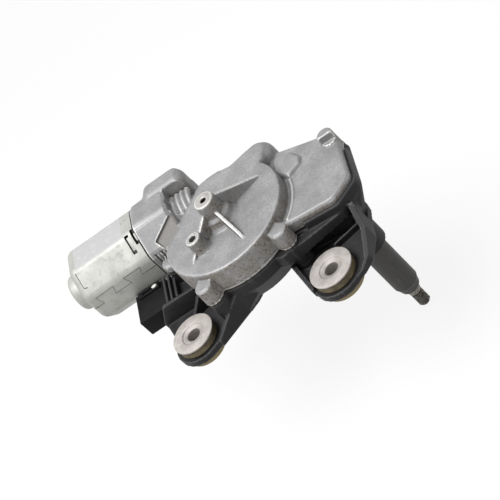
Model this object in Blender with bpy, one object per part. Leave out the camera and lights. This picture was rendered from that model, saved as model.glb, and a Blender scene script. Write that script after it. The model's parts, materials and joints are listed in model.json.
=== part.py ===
"""Rear wiper gear motor: permanent magnet motor, worm gear, crank linkage and output spindle.

Metres, +Z up.  The origin lies on the output spindle's axis, in the plane that the three mounting
bushes stand on.  +X runs along the motor's axis from the can towards the gearbox, and the spindle
points down.
"""
import math

import bmesh
import bpy
from mathutils import Matrix

# Fits and walls
GAP = 0.0003
RUNNING_GAP = 0.0003
CAST_WALL = 0.0026
PLASTIC_WALL = 0.0024

# Facets and tool overlaps
FINE_STEPS = 44
INNER_STEPS = 24
ROUND_STEPS = 20
SMALL_STEPS = 12
TINY_STEPS = 8
CORNER_STEPS = 2
SINK = 0.001
REACH = 0.010
TRIM = 0.004
TRIM_BLOCK = 0.2
SMOOTH_ANGLE = math.radians(32)
FLAT_ANGLE = math.radians(0.05)

# Gear train
WHEEL_TEETH = 63
TOOTH_MODULE = 0.0011
PRESSURE_ANGLE = math.radians(20)
WHEEL_ADDENDUM = 0.9
WHEEL_DEDENDUM = 1.3
WORM_DEDENDUM = 1.25
BACKLASH = 0.0003
WORM_PITCH_RADIUS = 0.0055
WORM_LENGTH = 0.019
WORM_CLEARANCE = 0.0007
WORM_STEPS_PER_TURN = 8
WORM_FLANK_STEPS = 2
WORM_ROOT_STEPS = 4
WHEEL_WIDTH = 0.010
WHEEL_X = -0.0575
WHEEL_Y = 0.0125
WHEEL_RIM = 0.0048
WHEEL_HUB_RADIUS = 0.0095
WHEEL_RECESS = 0.003
AXLE_RADIUS = 0.004
AXLE_TOP_DROP = 0.005
AXLE_OVERHANG = 0.0024
AXLE_GROOVE = 0.0008
CLIP_RADIUS = 0.0058
CLIP_THICKNESS = 0.0006

# Crank linkage
ROCKER_RADIUS = 0.012
SWEEP = math.radians(100)
LINK_HALF_WIDTH = 0.0045
LINK_THICKNESS = 0.003
LINK_CLEARANCE = 0.004
ROCKER_THICKNESS = 0.0037
ROCKER_HUB_WALL = 0.0035
CRANK_PIN_RADIUS = 0.0028
CRANK_PIN_SEAT = 0.006
ROCKER_PIN_RADIUS = 0.0026
PIN_HEAD = 0.001

# Levels above the mounting plane
DRUM_TOP_Z = 0.047
PLATE_TOP_Z = 0.038
SEAM_Z = 0.030
GASKET_THICKNESS = 0.0008
TUB_BOTTOM_Z = 0.009
TUB_KNEE_Z = 0.021
PLATE_KNEE_Z = 0.0255
EYE_TOP_Z = 0.0105
EYE_BOTTOM_Z = 0.006
BUSH_TOP_Z = 0.017
LIP_TOP_Z = 0.0338
MOTOR_AXIS_DROP = 0.0168

# Cast gear drum and plate
CHAMBER_GAP = 0.0012
DRUM_WALL = 0.0052
DRUM_DRAFT = 0.0004
EDGE_ROUND = 0.0015
ROUND_SHARE = 0.3
PLATE_RIGHT = 0.0235
CHAMBER_RIGHT = 0.0180
PLATE_FRONT = -0.0205
PLATE_BACK_RIGHT = (0.0200, 0.0338)
PLATE_BACK_LEFT = (-0.0183, 0.0488)
PLATE_FRONT_LEFT = (-0.0225, -0.0165)
PLATE_FRONT_BEVEL = (0.014, 0.010)
PLATE_BACK_BEVEL = 0.006
PLATE_ROOT_BACK = (0.33, 0.86)
PLATE_ROOT_FRONT = (0.14, -0.50)
PLATE_CORNER_ROUND = 0.0065
PLATE_CORNER_STEPS = 3
PAD_CORNERS = ((0.0388, 0.0312), (0.0372, 0.0150), (0.0455, 0.0055),
               (0.0545, 0.0105), (0.0560, 0.0165), (0.0500, 0.0255))
PAD_HEIGHT = 0.0026
PAD_EDGE = 0.0013
PAD_ROUND = 0.002
CHORD_DEPTH = 0.0104
CHORD_ANGLE = math.radians(141)
CHORD_SLOPE = math.radians(29)

# Worm tunnel and the pocket beside the hood
TUNNEL_RADIUS = 0.0100
TUNNEL_END = 0.030
TUNNEL_DOME = 0.006
TUNNEL_NOSE = 0.62
HUMP_OFFSET = (0.0018, -0.0025)
HUMP_RADIUS = 0.0098
HUMP_ROUND = 0.0066
HUMP_TOP_Z = 0.0464
SKIRT_START = 0.030
SKIRT_FRONT = 0.020
SKIRT_BACK = 0.005
SKIRT_OVERRUN = 0.003
SKIRT_RISE = 0.006
POCKET_LENGTH = 0.021
POCKET_DEPTH = 0.0045
POCKET_RIM = 0.004
POCKET_FRONT = 0.0295
POCKET_BACK = 0.0065
POST_OFFSET = (-0.0255, 0.0370)
POST_RADIUS = 0.0052
POST_HEIGHT = 0.0062
FLUTE_RADIUS = 0.0012
FLUTE_RING_RADIUS = 0.0056
FLUTE_ANGLES = (math.radians(-95), math.radians(-45), math.radians(5))

# Bosses, gussets and screw lugs on the casting
BOSS_HEIGHT = 0.018
BOSS_RADIUS = 0.0064
BOSS_FOOT_RADIUS = 0.0105
BOSS_FOOT_HEIGHT = 0.0055
BOSS_FLARE = 0.002
BOSS_HOLE_RADIUS = 0.0022
SMALL_BOSS_OFFSET = (-0.0165, -0.0146)
SMALL_BOSS_HEIGHT = 0.010
SMALL_BOSS_RADIUS = 0.0049
SMALL_BOSS_HOLE_RADIUS = 0.0026
RIB_THICKNESS = 0.0022
RIB_TOE = 0.0004
RIGHT_RIB = (math.radians(23), 0.0345, 0.0175)
FRONT_RIB = (math.radians(-68), 0.0305, 0.0125)
SMALL_BOSS_RIB_REACH = 0.011
SMALL_BOSS_RIB_RISE = 0.004
LUG_OFFSET = 0.0035
LUG_RADIUS = 0.0062
LUG_DROP = 0.004
LUG_ROOF = 0.002
LUG_EDGE = 0.0018
LUG_ROOT_DEPTH = 0.004
FRONT_LUG_ANGLE = math.radians(-48)
LEFT_LUG_ANGLE = math.radians(-122)
LEDGE_OFFSET = 0.0060
LEDGE_ANGLE = math.radians(168)
LEDGE_HEIGHT = 0.0050
CORNER_POST = (0.0187, 0.0272)
CORNER_POST_RADIUS = 0.0058
CORNER_POST_HEIGHT = 0.0065
POST_FLAT = 0.0018
POST_FOOT = 0.0012
BEAD_OFFSET = 0.0035
BEAD_WIDTH = 0.0014
BEAD_HEIGHT = 0.0010
BEAD_START = math.radians(-36)
BEAD_END = math.radians(6)
BEAD_STEPS = 5
CORNER_SOLID = 0.010
INNER_HUB_RADIUS = 0.0090
INNER_HUB_FLARE = 0.0015
ROOF_SLOPE = 0.008

# Motor hood on the casting
HOOD_LENGTH = 0.026
HOOD_ACROSS_FLATS = 0.0500
HOOD_MOUTH = 0.056
HOOD_EDGE = 0.0025
HOOD_EDGE_LENGTH = 0.003
HOOD_CLOSING = 0.012
BRUSH_ROOM = 0.0165
BACK_BLOCK_START = 0.0135
BACK_BLOCK_LENGTH = 0.0262
BACK_BLOCK_FRONT = 0.004
BACK_BLOCK_REACH = 0.0214
BACK_BLOCK_TOP = 0.0262
BACK_BLOCK_DEPTH = 0.010
BACK_BLOCK_ROUND = 0.005
BACK_BLOCK_EDGE = 0.004

# Motor
CAN_ACROSS_FLATS = 0.0475
CAN_LENGTH = 0.052
CAN_WALL = 0.0016
CAN_CORNER_ROUND = 0.007
CAN_END_ROUND = 0.005
CAN_SLOT = (0.003, 0.006)
CAN_SLOT_START = 0.0055
CAN_SLOT_ANGLE = math.radians(45)
BEARING_POT_RADIUS = 0.0120
BEARING_POT_DEPTH = 0.0092
POT_ROUND = 0.0020
MAGNET_THICKNESS = 0.0032
MAGNET_ARC = math.radians(130)
MAGNET_LENGTH = 0.032
MAGNET_STEPS = 10
AIR_GAP = 0.0008
ARMATURE_SHAFT_RADIUS = 0.0025
SHAFT_CHAMFER = 0.0004
CORE_LENGTH = 0.024
CORE_OFFSET = 0.005
CORE_SLOTS = 8
CORE_HUB_SHARE = 0.42
CORE_SHOE_SHARE = 0.86
CORE_ARCS = (0.42, 0.10, 0.16)
WINDING_SHARE = 0.80
WINDING_DEPTH = 0.006
WINDING_SHOULDER = 0.6
WINDING_END = 0.75
WINDING_DIP = 0.8
COMMUTATOR_RADIUS = 0.0062
COMMUTATOR_LENGTH = 0.009
COMMUTATOR_SETBACK = 0.003
COMMUTATOR_SLOT = 0.0008
BEARING_LENGTH = 0.0055
BEARING_CHAMFER = 0.0008
THRUST_PAD_LENGTH = 0.003
BRUSH_SIZE = (0.0050, 0.0040, 0.0065)
BRUSH_PLATE_SETBACK = 0.002
BRUSH_PLATE_THICKNESS = 0.0022
BRUSH_PLATE_WINDOW = 0.0022
SPRING_RADIUS = 0.0014
SPRING_WIRE = 0.0002
SPRING_TURNS = 3
SPRING_STEPS = 6

# Output spindle
SHAFT_RADIUS = 0.00475
SHAFT_STEP = 0.0006
THREAD_RADIUS = 0.0040
THREAD_LENGTH = 0.012
CONE_LENGTH = 0.005
SHAFT_TIP_Z = -0.085
SHAFT_TIP_CHAMFER = 0.0008
TUBE_WALL = 0.0017
TUBE_BOTTOM_Z = -0.068
TUBE_NECK_LENGTH = 0.006
TUBE_NECK_WALL = 0.00155
COLLAR_WALL = 0.00295
COLLAR_BOTTOM_Z = -0.023
COLLAR_FLARE = 0.0035
COLLAR_FLARE_LENGTH = 0.016
SHAFT_BUSH_WALL = 0.0014
SHAFT_BUSH_LENGTH = 0.012
THRUST_WASHER_THICKNESS = 0.001

# Rubber mounted fixing eyes
LEFT_EYE = (-0.1084, -0.0259)
RIGHT_EYE = (-0.0122, -0.0451)
REAR_EYE = (-0.0495, 0.0725)
EYE_RIM_RADIUS = 0.0165
EYE_HOLE_RADIUS = 0.0100
EYE_CLEARANCE = 0.0012
EYE_SPOT_DEPTH = 0.0003
GROMMET_RADIUS = 0.0138
GROMMET_EDGE = 0.0010
GROMMET_FOOT_Z = 0.0007
BUSH_FLANGE_RADIUS = 0.0142
BUSH_FLANGE_THICKNESS = 0.0012
BUSH_RADIUS = 0.0060
BUSH_BORE_RADIUS = 0.0044
BUSH_RECESS_RADIUS = 0.0074
BUSH_RECESS_DEPTH = 0.0006

# Arms and webs of the plastic tub
LEFT_ARM_ROOT = (-0.020, -0.020)
LEFT_ARM_RADIUS = 0.019
RIGHT_ARM_ROOT = (0.0535, -0.0225)
RIGHT_ARM_RADIUS = 0.0225
REAR_ARM_ROOT = (0.006, 0.026)
REAR_ARM_RADIUS = 0.014
WEB_THICKNESS = 0.0028
WEB_LOW = 0.0012
WEB_DROP = 0.004
LEFT_FRONT_WEB = ((-0.014, -0.0385), (0.0135, -0.0135), 0.0015)
LEFT_BACK_WEB = ((-0.037, -0.016), (0.002, 0.0175), 0.0035)
RIGHT_LEFT_WEB = ((0.0203, -0.0285), (-0.0155, -0.004), 0.003)
RIGHT_LEFT_WEB_DROP = 0.008
RIGHT_INNER_WEB = ((0.0535, -0.027), (0.009, 0.0155), 0.003)
SIDE_WALL_THICKNESS = 0.0036
SIDE_WALL_SETBACK = 0.0052
SIDE_WALL_KNEE = 0.0095
SIDE_WALL_LEAN = 0.0042
SIDE_WALL_DROP = 0.0038
SIDE_WALL_DEPTH = 0.006
SIDE_WALL_BACK = 0.017
SIDE_WALL_END = (0.0195, -0.001)
SIDE_WALL_RISE = 0.004
LIP_START = 0.28
LIP_END = 0.75
LIP_WALL = 0.0018
PILLAR_DRAFT = 0.0004
PILLAR_ROOT_SHRINK = 0.002
RIM_STEP = 0.0003
SHOULDER = 0.0016
TUB_TAPER = 0.0068
TUB_BASE_INSET = 0.0022

# Plug socket, park switch and fasteners
SOCKET_START = 0.0605
SOCKET_FRONT = 0.008
SOCKET_DROP = 0.0385
SOCKET_LENGTH = 0.022
SOCKET_WIDTH = 0.024
SOCKET_HEIGHT = 0.0125
SOCKET_WALL = 0.0016
SOCKET_BASE = 0.006
SOCKET_NECK_INSET = 0.002
SOCKET_NECK_OVERLAP = 0.008
RAIL_WIDTH = 0.005
RAIL_HEIGHT = 0.0022
RAIL_SIDE = 0.001
RAIL_FRONT = 0.003
RAIL_SLOT_WIDTH = 0.002
TERMINAL_COUNT = 4
TERMINAL_WIDTH = 0.0022
TERMINAL_THICKNESS = 0.0008
TERMINAL_RECESS = 0.005
TERMINAL_ROOT = 0.003
CONTACT_PLATE_NEAR = 0.018
CONTACT_PLATE_SETBACK = 0.0025
CONTACT_PLATE_WIDTH = 0.020
CONTACT_PLATE_THICKNESS = 0.0016
CONTACT_SPACING = 0.009
CONTACT_WIDTH = 0.003
CONTACT_FOOT = 0.008
CONTACT_LEAF = 0.0005
PARK_DISC_INNER = 0.0255
PARK_DISC_OUTER = 0.0325
PARK_DISC_THICKNESS = 0.0006
SCREW_RADIUS = 0.0020
SCREW_HEAD_RADIUS = 0.0042
SCREW_HEAD_HEIGHT = 0.0028
SCREW_SEAT_RISE = 0.003
CORNER_SEAT_DEPTH = 0.0045
SCREW_CHAMFER = 0.0006

# Places that follow from the driving dimensions
TOOTH_PITCH = math.pi * TOOTH_MODULE
WHEEL_PITCH_RADIUS = WHEEL_TEETH * TOOTH_MODULE / 2
CENTRE_DISTANCE = WHEEL_PITCH_RADIUS + WORM_PITCH_RADIUS
WHEEL_TIP_RADIUS = WHEEL_PITCH_RADIUS + WHEEL_ADDENDUM * TOOTH_MODULE
WHEEL_ROOT_RADIUS = WHEEL_PITCH_RADIUS - WHEEL_DEDENDUM * TOOTH_MODULE
WORM_TIP_RADIUS = WORM_PITCH_RADIUS + TOOTH_MODULE
WORM_ROOT_RADIUS = WORM_PITCH_RADIUS - WORM_DEDENDUM * TOOTH_MODULE
MOTOR_Y = WHEEL_Y + CENTRE_DISTANCE
MOTOR_Z = DRUM_TOP_Z - MOTOR_AXIS_DROP
WHEEL_TOP_Z = MOTOR_Z + WHEEL_WIDTH / 2
WHEEL_BOTTOM_Z = MOTOR_Z - WHEEL_WIDTH / 2
GASKET_TOP_Z = SEAM_Z - GAP
GASKET_BOTTOM_Z = GASKET_TOP_Z - GASKET_THICKNESS
TUB_TOP_Z = GASKET_BOTTOM_Z - GAP
TUB_FLOOR_Z = TUB_BOTTOM_Z + PLASTIC_WALL
CAVITY_RADIUS = WHEEL_TIP_RADIUS + CHAMBER_GAP
DRUM_RADIUS = CAVITY_RADIUS + DRUM_WALL
TUB_RADIUS = DRUM_RADIUS - DRUM_DRAFT
TUB_ROOM_RADIUS = TUB_RADIUS - PLASTIC_WALL
CONTACT_PLATE_FAR = TUB_ROOM_RADIUS - TUB_TAPER - CONTACT_PLATE_SETBACK
LUG_RING_RADIUS = DRUM_RADIUS + LUG_OFFSET
LEDGE_RING_RADIUS = DRUM_RADIUS + LEDGE_OFFSET
BEAD_RING_RADIUS = DRUM_RADIUS + BEAD_OFFSET
WORM_BORE_RADIUS = WORM_TIP_RADIUS + WORM_CLEARANCE
WORM_BORE_END_X = WHEEL_X + TUNNEL_END + TUNNEL_DOME - 2 * CAST_WALL
HOOD_MOUTH_X = WHEEL_X - HOOD_MOUTH
HOOD_END_X = HOOD_MOUTH_X + HOOD_LENGTH
HOOD_BORE_RADIUS = HOOD_ACROSS_FLATS / 2 - CAST_WALL
CAN_MOUTH_X = HOOD_MOUTH_X - GAP
CAN_END_X = CAN_MOUTH_X - CAN_LENGTH
POT_FLOOR_X = CAN_END_X - BEARING_POT_DEPTH + CAN_WALL
MAGNET_OUTER_RADIUS = CAN_ACROSS_FLATS / 2 - CAN_WALL - GAP
MAGNET_INNER_RADIUS = MAGNET_OUTER_RADIUS - MAGNET_THICKNESS
CORE_RADIUS = MAGNET_INNER_RADIUS - AIR_GAP
CORE_MIDDLE_X = CAN_MOUTH_X - CAN_LENGTH / 2 + CORE_OFFSET
CORE_START_X = CORE_MIDDLE_X - CORE_LENGTH / 2
MAGNET_START_X = CORE_MIDDLE_X - MAGNET_LENGTH / 2
COMMUTATOR_START_X = HOOD_MOUTH_X + COMMUTATOR_SETBACK
BRUSH_PLATE_X = HOOD_MOUTH_X + BRUSH_PLATE_SETBACK
FRONT_BEARING_X = HOOD_MOUTH_X + BRUSH_ROOM + GAP
ARMATURE_END_X = WORM_BORE_END_X - THRUST_PAD_LENGTH
END_BEARING_X = ARMATURE_END_X - 2 * GAP - BEARING_LENGTH
AXLE_TOP_Z = DRUM_TOP_Z + BOSS_HEIGHT - AXLE_TOP_DROP
SHAFT_DISTANCE = math.hypot(WHEEL_X, WHEEL_Y)
CHORD_OFFSET = ROCKER_RADIUS * math.cos(SWEEP / 2)
CRANK_RADIUS = ROCKER_RADIUS * math.sin(SWEEP / 2)
LINK_LENGTH = math.sqrt(SHAFT_DISTANCE ** 2 - CHORD_OFFSET ** 2)
LINK_ANGLE = math.atan2(-WHEEL_Y, -WHEEL_X) + math.asin(CHORD_OFFSET / SHAFT_DISTANCE)
ROCKER_REST_ANGLE = LINK_ANGLE + math.pi / 2 - SWEEP / 2
ROCKER_PIN = (ROCKER_RADIUS * math.cos(ROCKER_REST_ANGLE), ROCKER_RADIUS * math.sin(ROCKER_REST_ANGLE))
CRANK_PIN = (WHEEL_X + CRANK_RADIUS * math.cos(LINK_ANGLE), WHEEL_Y + CRANK_RADIUS * math.sin(LINK_ANGLE))
LINK_TOP_Z = WHEEL_BOTTOM_Z - LINK_CLEARANCE
LINK_BOTTOM_Z = LINK_TOP_Z - LINK_THICKNESS
ROCKER_TOP_Z = LINK_BOTTOM_Z - GAP
ROCKER_BOTTOM_Z = ROCKER_TOP_Z - ROCKER_THICKNESS
THRUST_WASHER_TOP_Z = ROCKER_BOTTOM_Z - GAP
TUBE_TOP_Z = THRUST_WASHER_TOP_Z - THRUST_WASHER_THICKNESS - GAP
SHAFT_BORE_RADIUS = SHAFT_RADIUS + RUNNING_GAP
TUBE_BORE_RADIUS = SHAFT_BORE_RADIUS + SHAFT_BUSH_WALL + GAP
TUBE_RADIUS = TUBE_BORE_RADIUS + TUBE_WALL
TUBE_NECK_RADIUS = SHAFT_BORE_RADIUS + TUBE_NECK_WALL
COLLAR_RADIUS = TUBE_RADIUS + GAP + COLLAR_WALL
SOCKET_BACK_X = WHEEL_X - SOCKET_START
SOCKET_LOW = (SOCKET_BACK_X - SOCKET_LENGTH, WHEEL_Y - SOCKET_FRONT, DRUM_TOP_Z - SOCKET_DROP)
SCREW_SEAT_Z = EYE_TOP_Z + SCREW_SEAT_RISE
EYE_SEAT_Z = EYE_TOP_Z - EYE_SPOT_DEPTH
WEB_LOW_Z = EYE_BOTTOM_Z + WEB_LOW

# Colour, roughness and metallic value of each finish
FINISHES = {
    "cast_aluminium": ((0.50, 0.50, 0.50), 0.48, 0.85),
    "zinc_plated_steel": ((0.60, 0.61, 0.57), 0.38, 0.9),
    "black_plastic": ((0.022, 0.023, 0.026), 0.5, 0.0),
    "black_tube": ((0.030, 0.029, 0.030), 0.55, 0.2),
    "olive_rubber": ((0.06, 0.05, 0.032), 0.75, 0.0),
    "bush_metal": ((0.66, 0.63, 0.60), 0.5, 0.6),
    "steel": ((0.42, 0.41, 0.39), 0.35, 1.0),
    "bearing_bronze": ((0.45, 0.33, 0.18), 0.5, 0.9),
    "ferrite": ((0.08, 0.08, 0.085), 0.6, 0.1),
    "laminated_iron": ((0.30, 0.30, 0.31), 0.5, 0.9),
    "copper": ((0.70, 0.35, 0.18), 0.4, 1.0),
    "brown_card": ((0.20, 0.10, 0.05), 0.65, 0.0),
    "carbon": ((0.04, 0.04, 0.04), 0.7, 0.0),
    "natural_nylon": ((0.72, 0.70, 0.62), 0.5, 0.0),
}


def collection(name):
    """Collection of this name, made on first use."""
    found = bpy.data.collections.get(name)
    if found is None:
        found = bpy.data.collections.new(name)
        bpy.context.scene.collection.children.link(found)
    return found


def finish(name):
    """Principled material of one finish, made on first use."""
    material = bpy.data.materials.get(name)
    if material is None:
        colour, roughness, metallic = FINISHES[name]
        material = bpy.data.materials.new(name)
        material.use_nodes = True
        shader = material.node_tree.nodes["Principled BSDF"]
        shader.inputs["Base Color"].default_value = (*colour, 1.0)
        shader.inputs["Roughness"].default_value = roughness
        shader.inputs["Metallic"].default_value = metallic
    return material


def from_wheel(x, y):
    """Plan position measured from the worm wheel's axis."""
    return (WHEEL_X + x, WHEEL_Y + y)


def shifted(place, x, y):
    """Plan position measured from another place."""
    return (place[0] + x, place[1] + y)


def between(first, second, share):
    """Plan point on the line from one point to another."""
    return tuple(a + (b - a) * share for a, b in zip(first, second))


def polar(centre, radius, angle):
    """Plan position at a radius and an angle round a centre."""
    return (centre[0] + radius * math.cos(angle), centre[1] + radius * math.sin(angle))


def circle(centre, radius, steps=ROUND_STEPS, start=0.0):
    """Points round a circle, anticlockwise."""
    return [polar(centre, radius, start + 2 * math.pi * i / steps) for i in range(steps)]


def corner_angles(corners):
    """Each corner of a convex outline with its half angle and the direction of its bisector."""
    for index, corner in enumerate(corners):
        before = corners[index - 1]
        after = corners[(index + 1) % len(corners)]
        to_before = math.atan2(before[1] - corner[1], before[0] - corner[0])
        to_after = math.atan2(after[1] - corner[1], after[0] - corner[0])
        half = ((to_before - to_after) % (2 * math.pi)) / 2
        yield corner, half, to_after + half


def rounded(corners, radius, steps=CORNER_STEPS):
    """Convex anticlockwise outline with its corners replaced by arcs."""
    points = []
    for corner, half, bisector in corner_angles(corners):
        centre = polar(corner, radius / math.sin(half), bisector)
        start = bisector + half + math.pi / 2
        turn = math.pi - 2 * half
        points += [polar(centre, radius, start + turn * i / steps) for i in range(steps + 1)]
    return points


def inset(corners, distance):
    """Convex anticlockwise outline with each side moved inwards."""
    return [polar(corner, distance / math.sin(half), bisector)
            for corner, half, bisector in corner_angles(corners)]


def polygon(across_flats, sides, centre):
    """Corners of a regular polygon that lies on a flat."""
    radius = across_flats / 2 / math.cos(math.pi / sides)
    return circle(centre, radius, sides, math.pi / sides)


def turn_to_x(shape):
    """Turn a shape drawn over (x, y) and up Z so that it is drawn over (y, z) and along X."""
    matrix = Matrix(((0, 0, 1, 0), (1, 0, 0, 0), (0, 1, 0, 0), (0, 0, 0, 1)))
    bmesh.ops.transform(shape, matrix=matrix, verts=shape.verts)
    return shape


def tidy(shape):
    """Merge seams and point the faces outwards."""
    bmesh.ops.remove_doubles(shape, verts=shape.verts, dist=1e-6)
    bmesh.ops.dissolve_degenerate(shape, edges=shape.edges, dist=1e-7)
    bmesh.ops.recalc_face_normals(shape, faces=shape.faces)
    return shape


def flatten(shape):
    """Join the facets that lie in one plane."""
    bmesh.ops.dissolve_limit(shape, angle_limit=FLAT_ANGLE, verts=shape.verts, edges=shape.edges)
    return tidy(shape)


def prism(outline, low, high):
    """Outline extruded from one height to another."""
    shape = bmesh.new()
    face = shape.faces.new([shape.verts.new((x, y, low)) for x, y in outline])
    top = bmesh.ops.extrude_face_region(shape, geom=[face])["geom"]
    top_verts = [item for item in top if isinstance(item, bmesh.types.BMVert)]
    bmesh.ops.translate(shape, vec=(0, 0, high - low), verts=top_verts)
    return tidy(shape)


def bar(outline, low, high):
    """Outline over (y, z) extruded along X."""
    return turn_to_x(prism(outline, low, high))


def turned(profile, centre, steps=ROUND_STEPS):
    """Body turned about a vertical axis from (radius, height) points."""
    shape = bmesh.new()
    verts = [shape.verts.new((radius, 0, height)) for radius, height in profile]
    edges = []
    for first, second in zip(verts, verts[1:] + verts[:1]):
        if first.co.x > 0 or second.co.x > 0:
            edges.append(shape.edges.new((first, second)))
    bmesh.ops.spin(shape, geom=verts + edges, cent=(0, 0, 0), axis=(0, 0, 1),
                   angle=2 * math.pi, steps=steps, use_merge=True)
    bmesh.ops.translate(shape, vec=(centre[0], centre[1], 0), verts=shape.verts)
    return flatten(tidy(shape))


def turned_x(profile, steps=ROUND_STEPS):
    """Body turned about the motor's axis from (radius, x) points."""
    return turn_to_x(turned(profile, (MOTOR_Y, MOTOR_Z), steps))


def drum(radius, low, high, centre, steps=ROUND_STEPS):
    """Plain upright cylinder."""
    return prism(circle(centre, radius, steps), low, high)


def drum_x(radius, low, high, steps=ROUND_STEPS):
    """Plain cylinder on the motor's axis."""
    return bar(circle((MOTOR_Y, MOTOR_Z), radius, steps), low, high)


def ring(inner, outer, low, high, centre, steps=ROUND_STEPS):
    """Plain upright tube."""
    return turned([(inner, low), (outer, low), (outer, high), (inner, high)], centre, steps)


def box(low, high):
    """Block between two corners."""
    outline = [(low[0], low[1]), (high[0], low[1]), (high[0], high[1]), (low[0], high[1])]
    return prism(outline, low[2], high[2])


def level_block(low, high):
    """Wide block that trims everything between two heights."""
    return box((-TRIM_BLOCK, -TRIM_BLOCK, low), (TRIM_BLOCK, TRIM_BLOCK, high))


def hull(points):
    """Convex loft over a set of points."""
    shape = bmesh.new()
    for point in points:
        shape.verts.new(point)
    result = bmesh.ops.convex_hull(shape, input=shape.verts)
    loose = [item for item in result["geom_interior"] if isinstance(item, bmesh.types.BMVert)]
    bmesh.ops.delete(shape, geom=loose, context="VERTS")
    return flatten(shape)


def at_height(outline, height):
    """Plan outline lifted to a height."""
    return [(x, y, height) for x, y in outline]


def at_x(outline, x):
    """Outline over (y, z) placed at a station along X."""
    return [(x, y, z) for y, z in outline]


def loft(outline, low, high):
    """Convex plan outline lofted straight up, for outlines given as loose points."""
    return hull(at_height(outline, low) + at_height(outline, high))


def place(shape, name, group):
    """Object with the shape as its mesh."""
    mesh = bpy.data.meshes.new(name)
    shape.to_mesh(mesh)
    shape.free()
    piece = bpy.data.objects.new(name, mesh)
    collection(group).objects.link(piece)
    return piece


def part(name, shape, finish_name, pivot=(0, 0, 0)):
    """Named sub-part with its origin on a pivot."""
    bmesh.ops.translate(shape, vec=[-value for value in pivot], verts=shape.verts)
    piece = place(shape, name, "gear_motor_parts")
    piece.location = pivot
    piece.data.materials.append(finish(finish_name))
    piece.data.shade_smooth()
    piece.data.set_sharp_from_angle(angle=SMOOTH_ANGLE)
    return piece


def combine(piece, shape, operation):
    """Boolean of a sub-part with a tool shape."""
    step = len(piece.modifiers) + 1
    tool = place(shape, f"{piece.name}_tool_{step}", "cutters")
    tool.hide_render = True
    tool.display_type = "WIRE"
    modifier = piece.modifiers.new(f"step_{step}", "BOOLEAN")
    modifier.operation = operation
    modifier.object = tool
    modifier.solver = "EXACT"


def add(piece, shape):
    """Join a shape to a sub-part."""
    combine(piece, shape, "UNION")


def cut(piece, shape):
    """Cut a shape out of a sub-part."""
    combine(piece, shape, "DIFFERENCE")


def plate_corners(right=PLATE_RIGHT):
    """Plan of the flat plate over the rocker, as corners."""
    bevel_x, bevel_y = PLATE_FRONT_BEVEL
    return [PLATE_FRONT_LEFT, (right - bevel_x, PLATE_FRONT), (right, PLATE_FRONT + bevel_y),
            (right, PLATE_BACK_RIGHT[1] - PLATE_BACK_BEVEL), PLATE_BACK_RIGHT, PLATE_BACK_LEFT,
            from_wheel(DRUM_RADIUS * PLATE_ROOT_BACK[0], DRUM_RADIUS * PLATE_ROOT_BACK[1]),
            from_wheel(DRUM_RADIUS * PLATE_ROOT_FRONT[0], DRUM_RADIUS * PLATE_ROOT_FRONT[1])]


def plate_outline(distance=0.0):
    """Plan of the plate with rounded corners, moved inwards by a wall."""
    return rounded(inset(plate_corners(), distance), PLATE_CORNER_ROUND, PLATE_CORNER_STEPS)


def chamber_outline(distance):
    """Plan of the room inside the plate, which leaves the screw's corner solid."""
    corners = plate_corners(CHAMBER_RIGHT)
    right, back_right, back_left = corners[3:6]
    corners[3] = shifted(right, 0, -CORNER_SOLID)
    along = math.atan2(back_left[1] - back_right[1], back_left[0] - back_right[0])
    corners[4] = polar(back_right, CORNER_SOLID, along)
    return rounded(inset(corners, distance), PLATE_CORNER_ROUND)


def lug_places():
    """Plan positions of the four screws: three on the drum's wall, one in the plate's corner."""
    wheel = from_wheel(0, 0)
    return [polar(wheel, LUG_RING_RADIUS, FRONT_LUG_ANGLE), polar(wheel, LUG_RING_RADIUS, LEFT_LUG_ANGLE),
            polar(wheel, LEDGE_RING_RADIUS, LEDGE_ANGLE), CORNER_POST]


def lug_tops():
    """Heights of the casting over the four screws."""
    lug_top = DRUM_TOP_Z - LUG_DROP
    return [lug_top, lug_top, SEAM_Z + LEDGE_HEIGHT, PLATE_TOP_Z + POST_FOOT]


def screw_seats():
    """Heights of the tub's seats under the four screw heads."""
    return [SCREW_SEAT_Z, SCREW_SEAT_Z, SCREW_SEAT_Z, TUB_TOP_Z - CORNER_SEAT_DEPTH]


def hood_section(distance=0.0):
    """Eight-sided hood outline over (y, z), moved outwards by a distance."""
    corners = polygon(HOOD_ACROSS_FLATS + 2 * distance, 8, (MOTOR_Y, MOTOR_Z))
    return rounded(corners, CAN_CORNER_ROUND)


def post_points(centre, radius, low, high):
    """Points of a round post with a softened top edge."""
    return (at_height(circle(centre, radius, SMALL_STEPS), low)
            + at_height(circle(centre, radius - LUG_EDGE / 3, SMALL_STEPS), high - LUG_EDGE / 2)
            + at_height(circle(centre, radius - LUG_EDGE, SMALL_STEPS), high))


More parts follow.
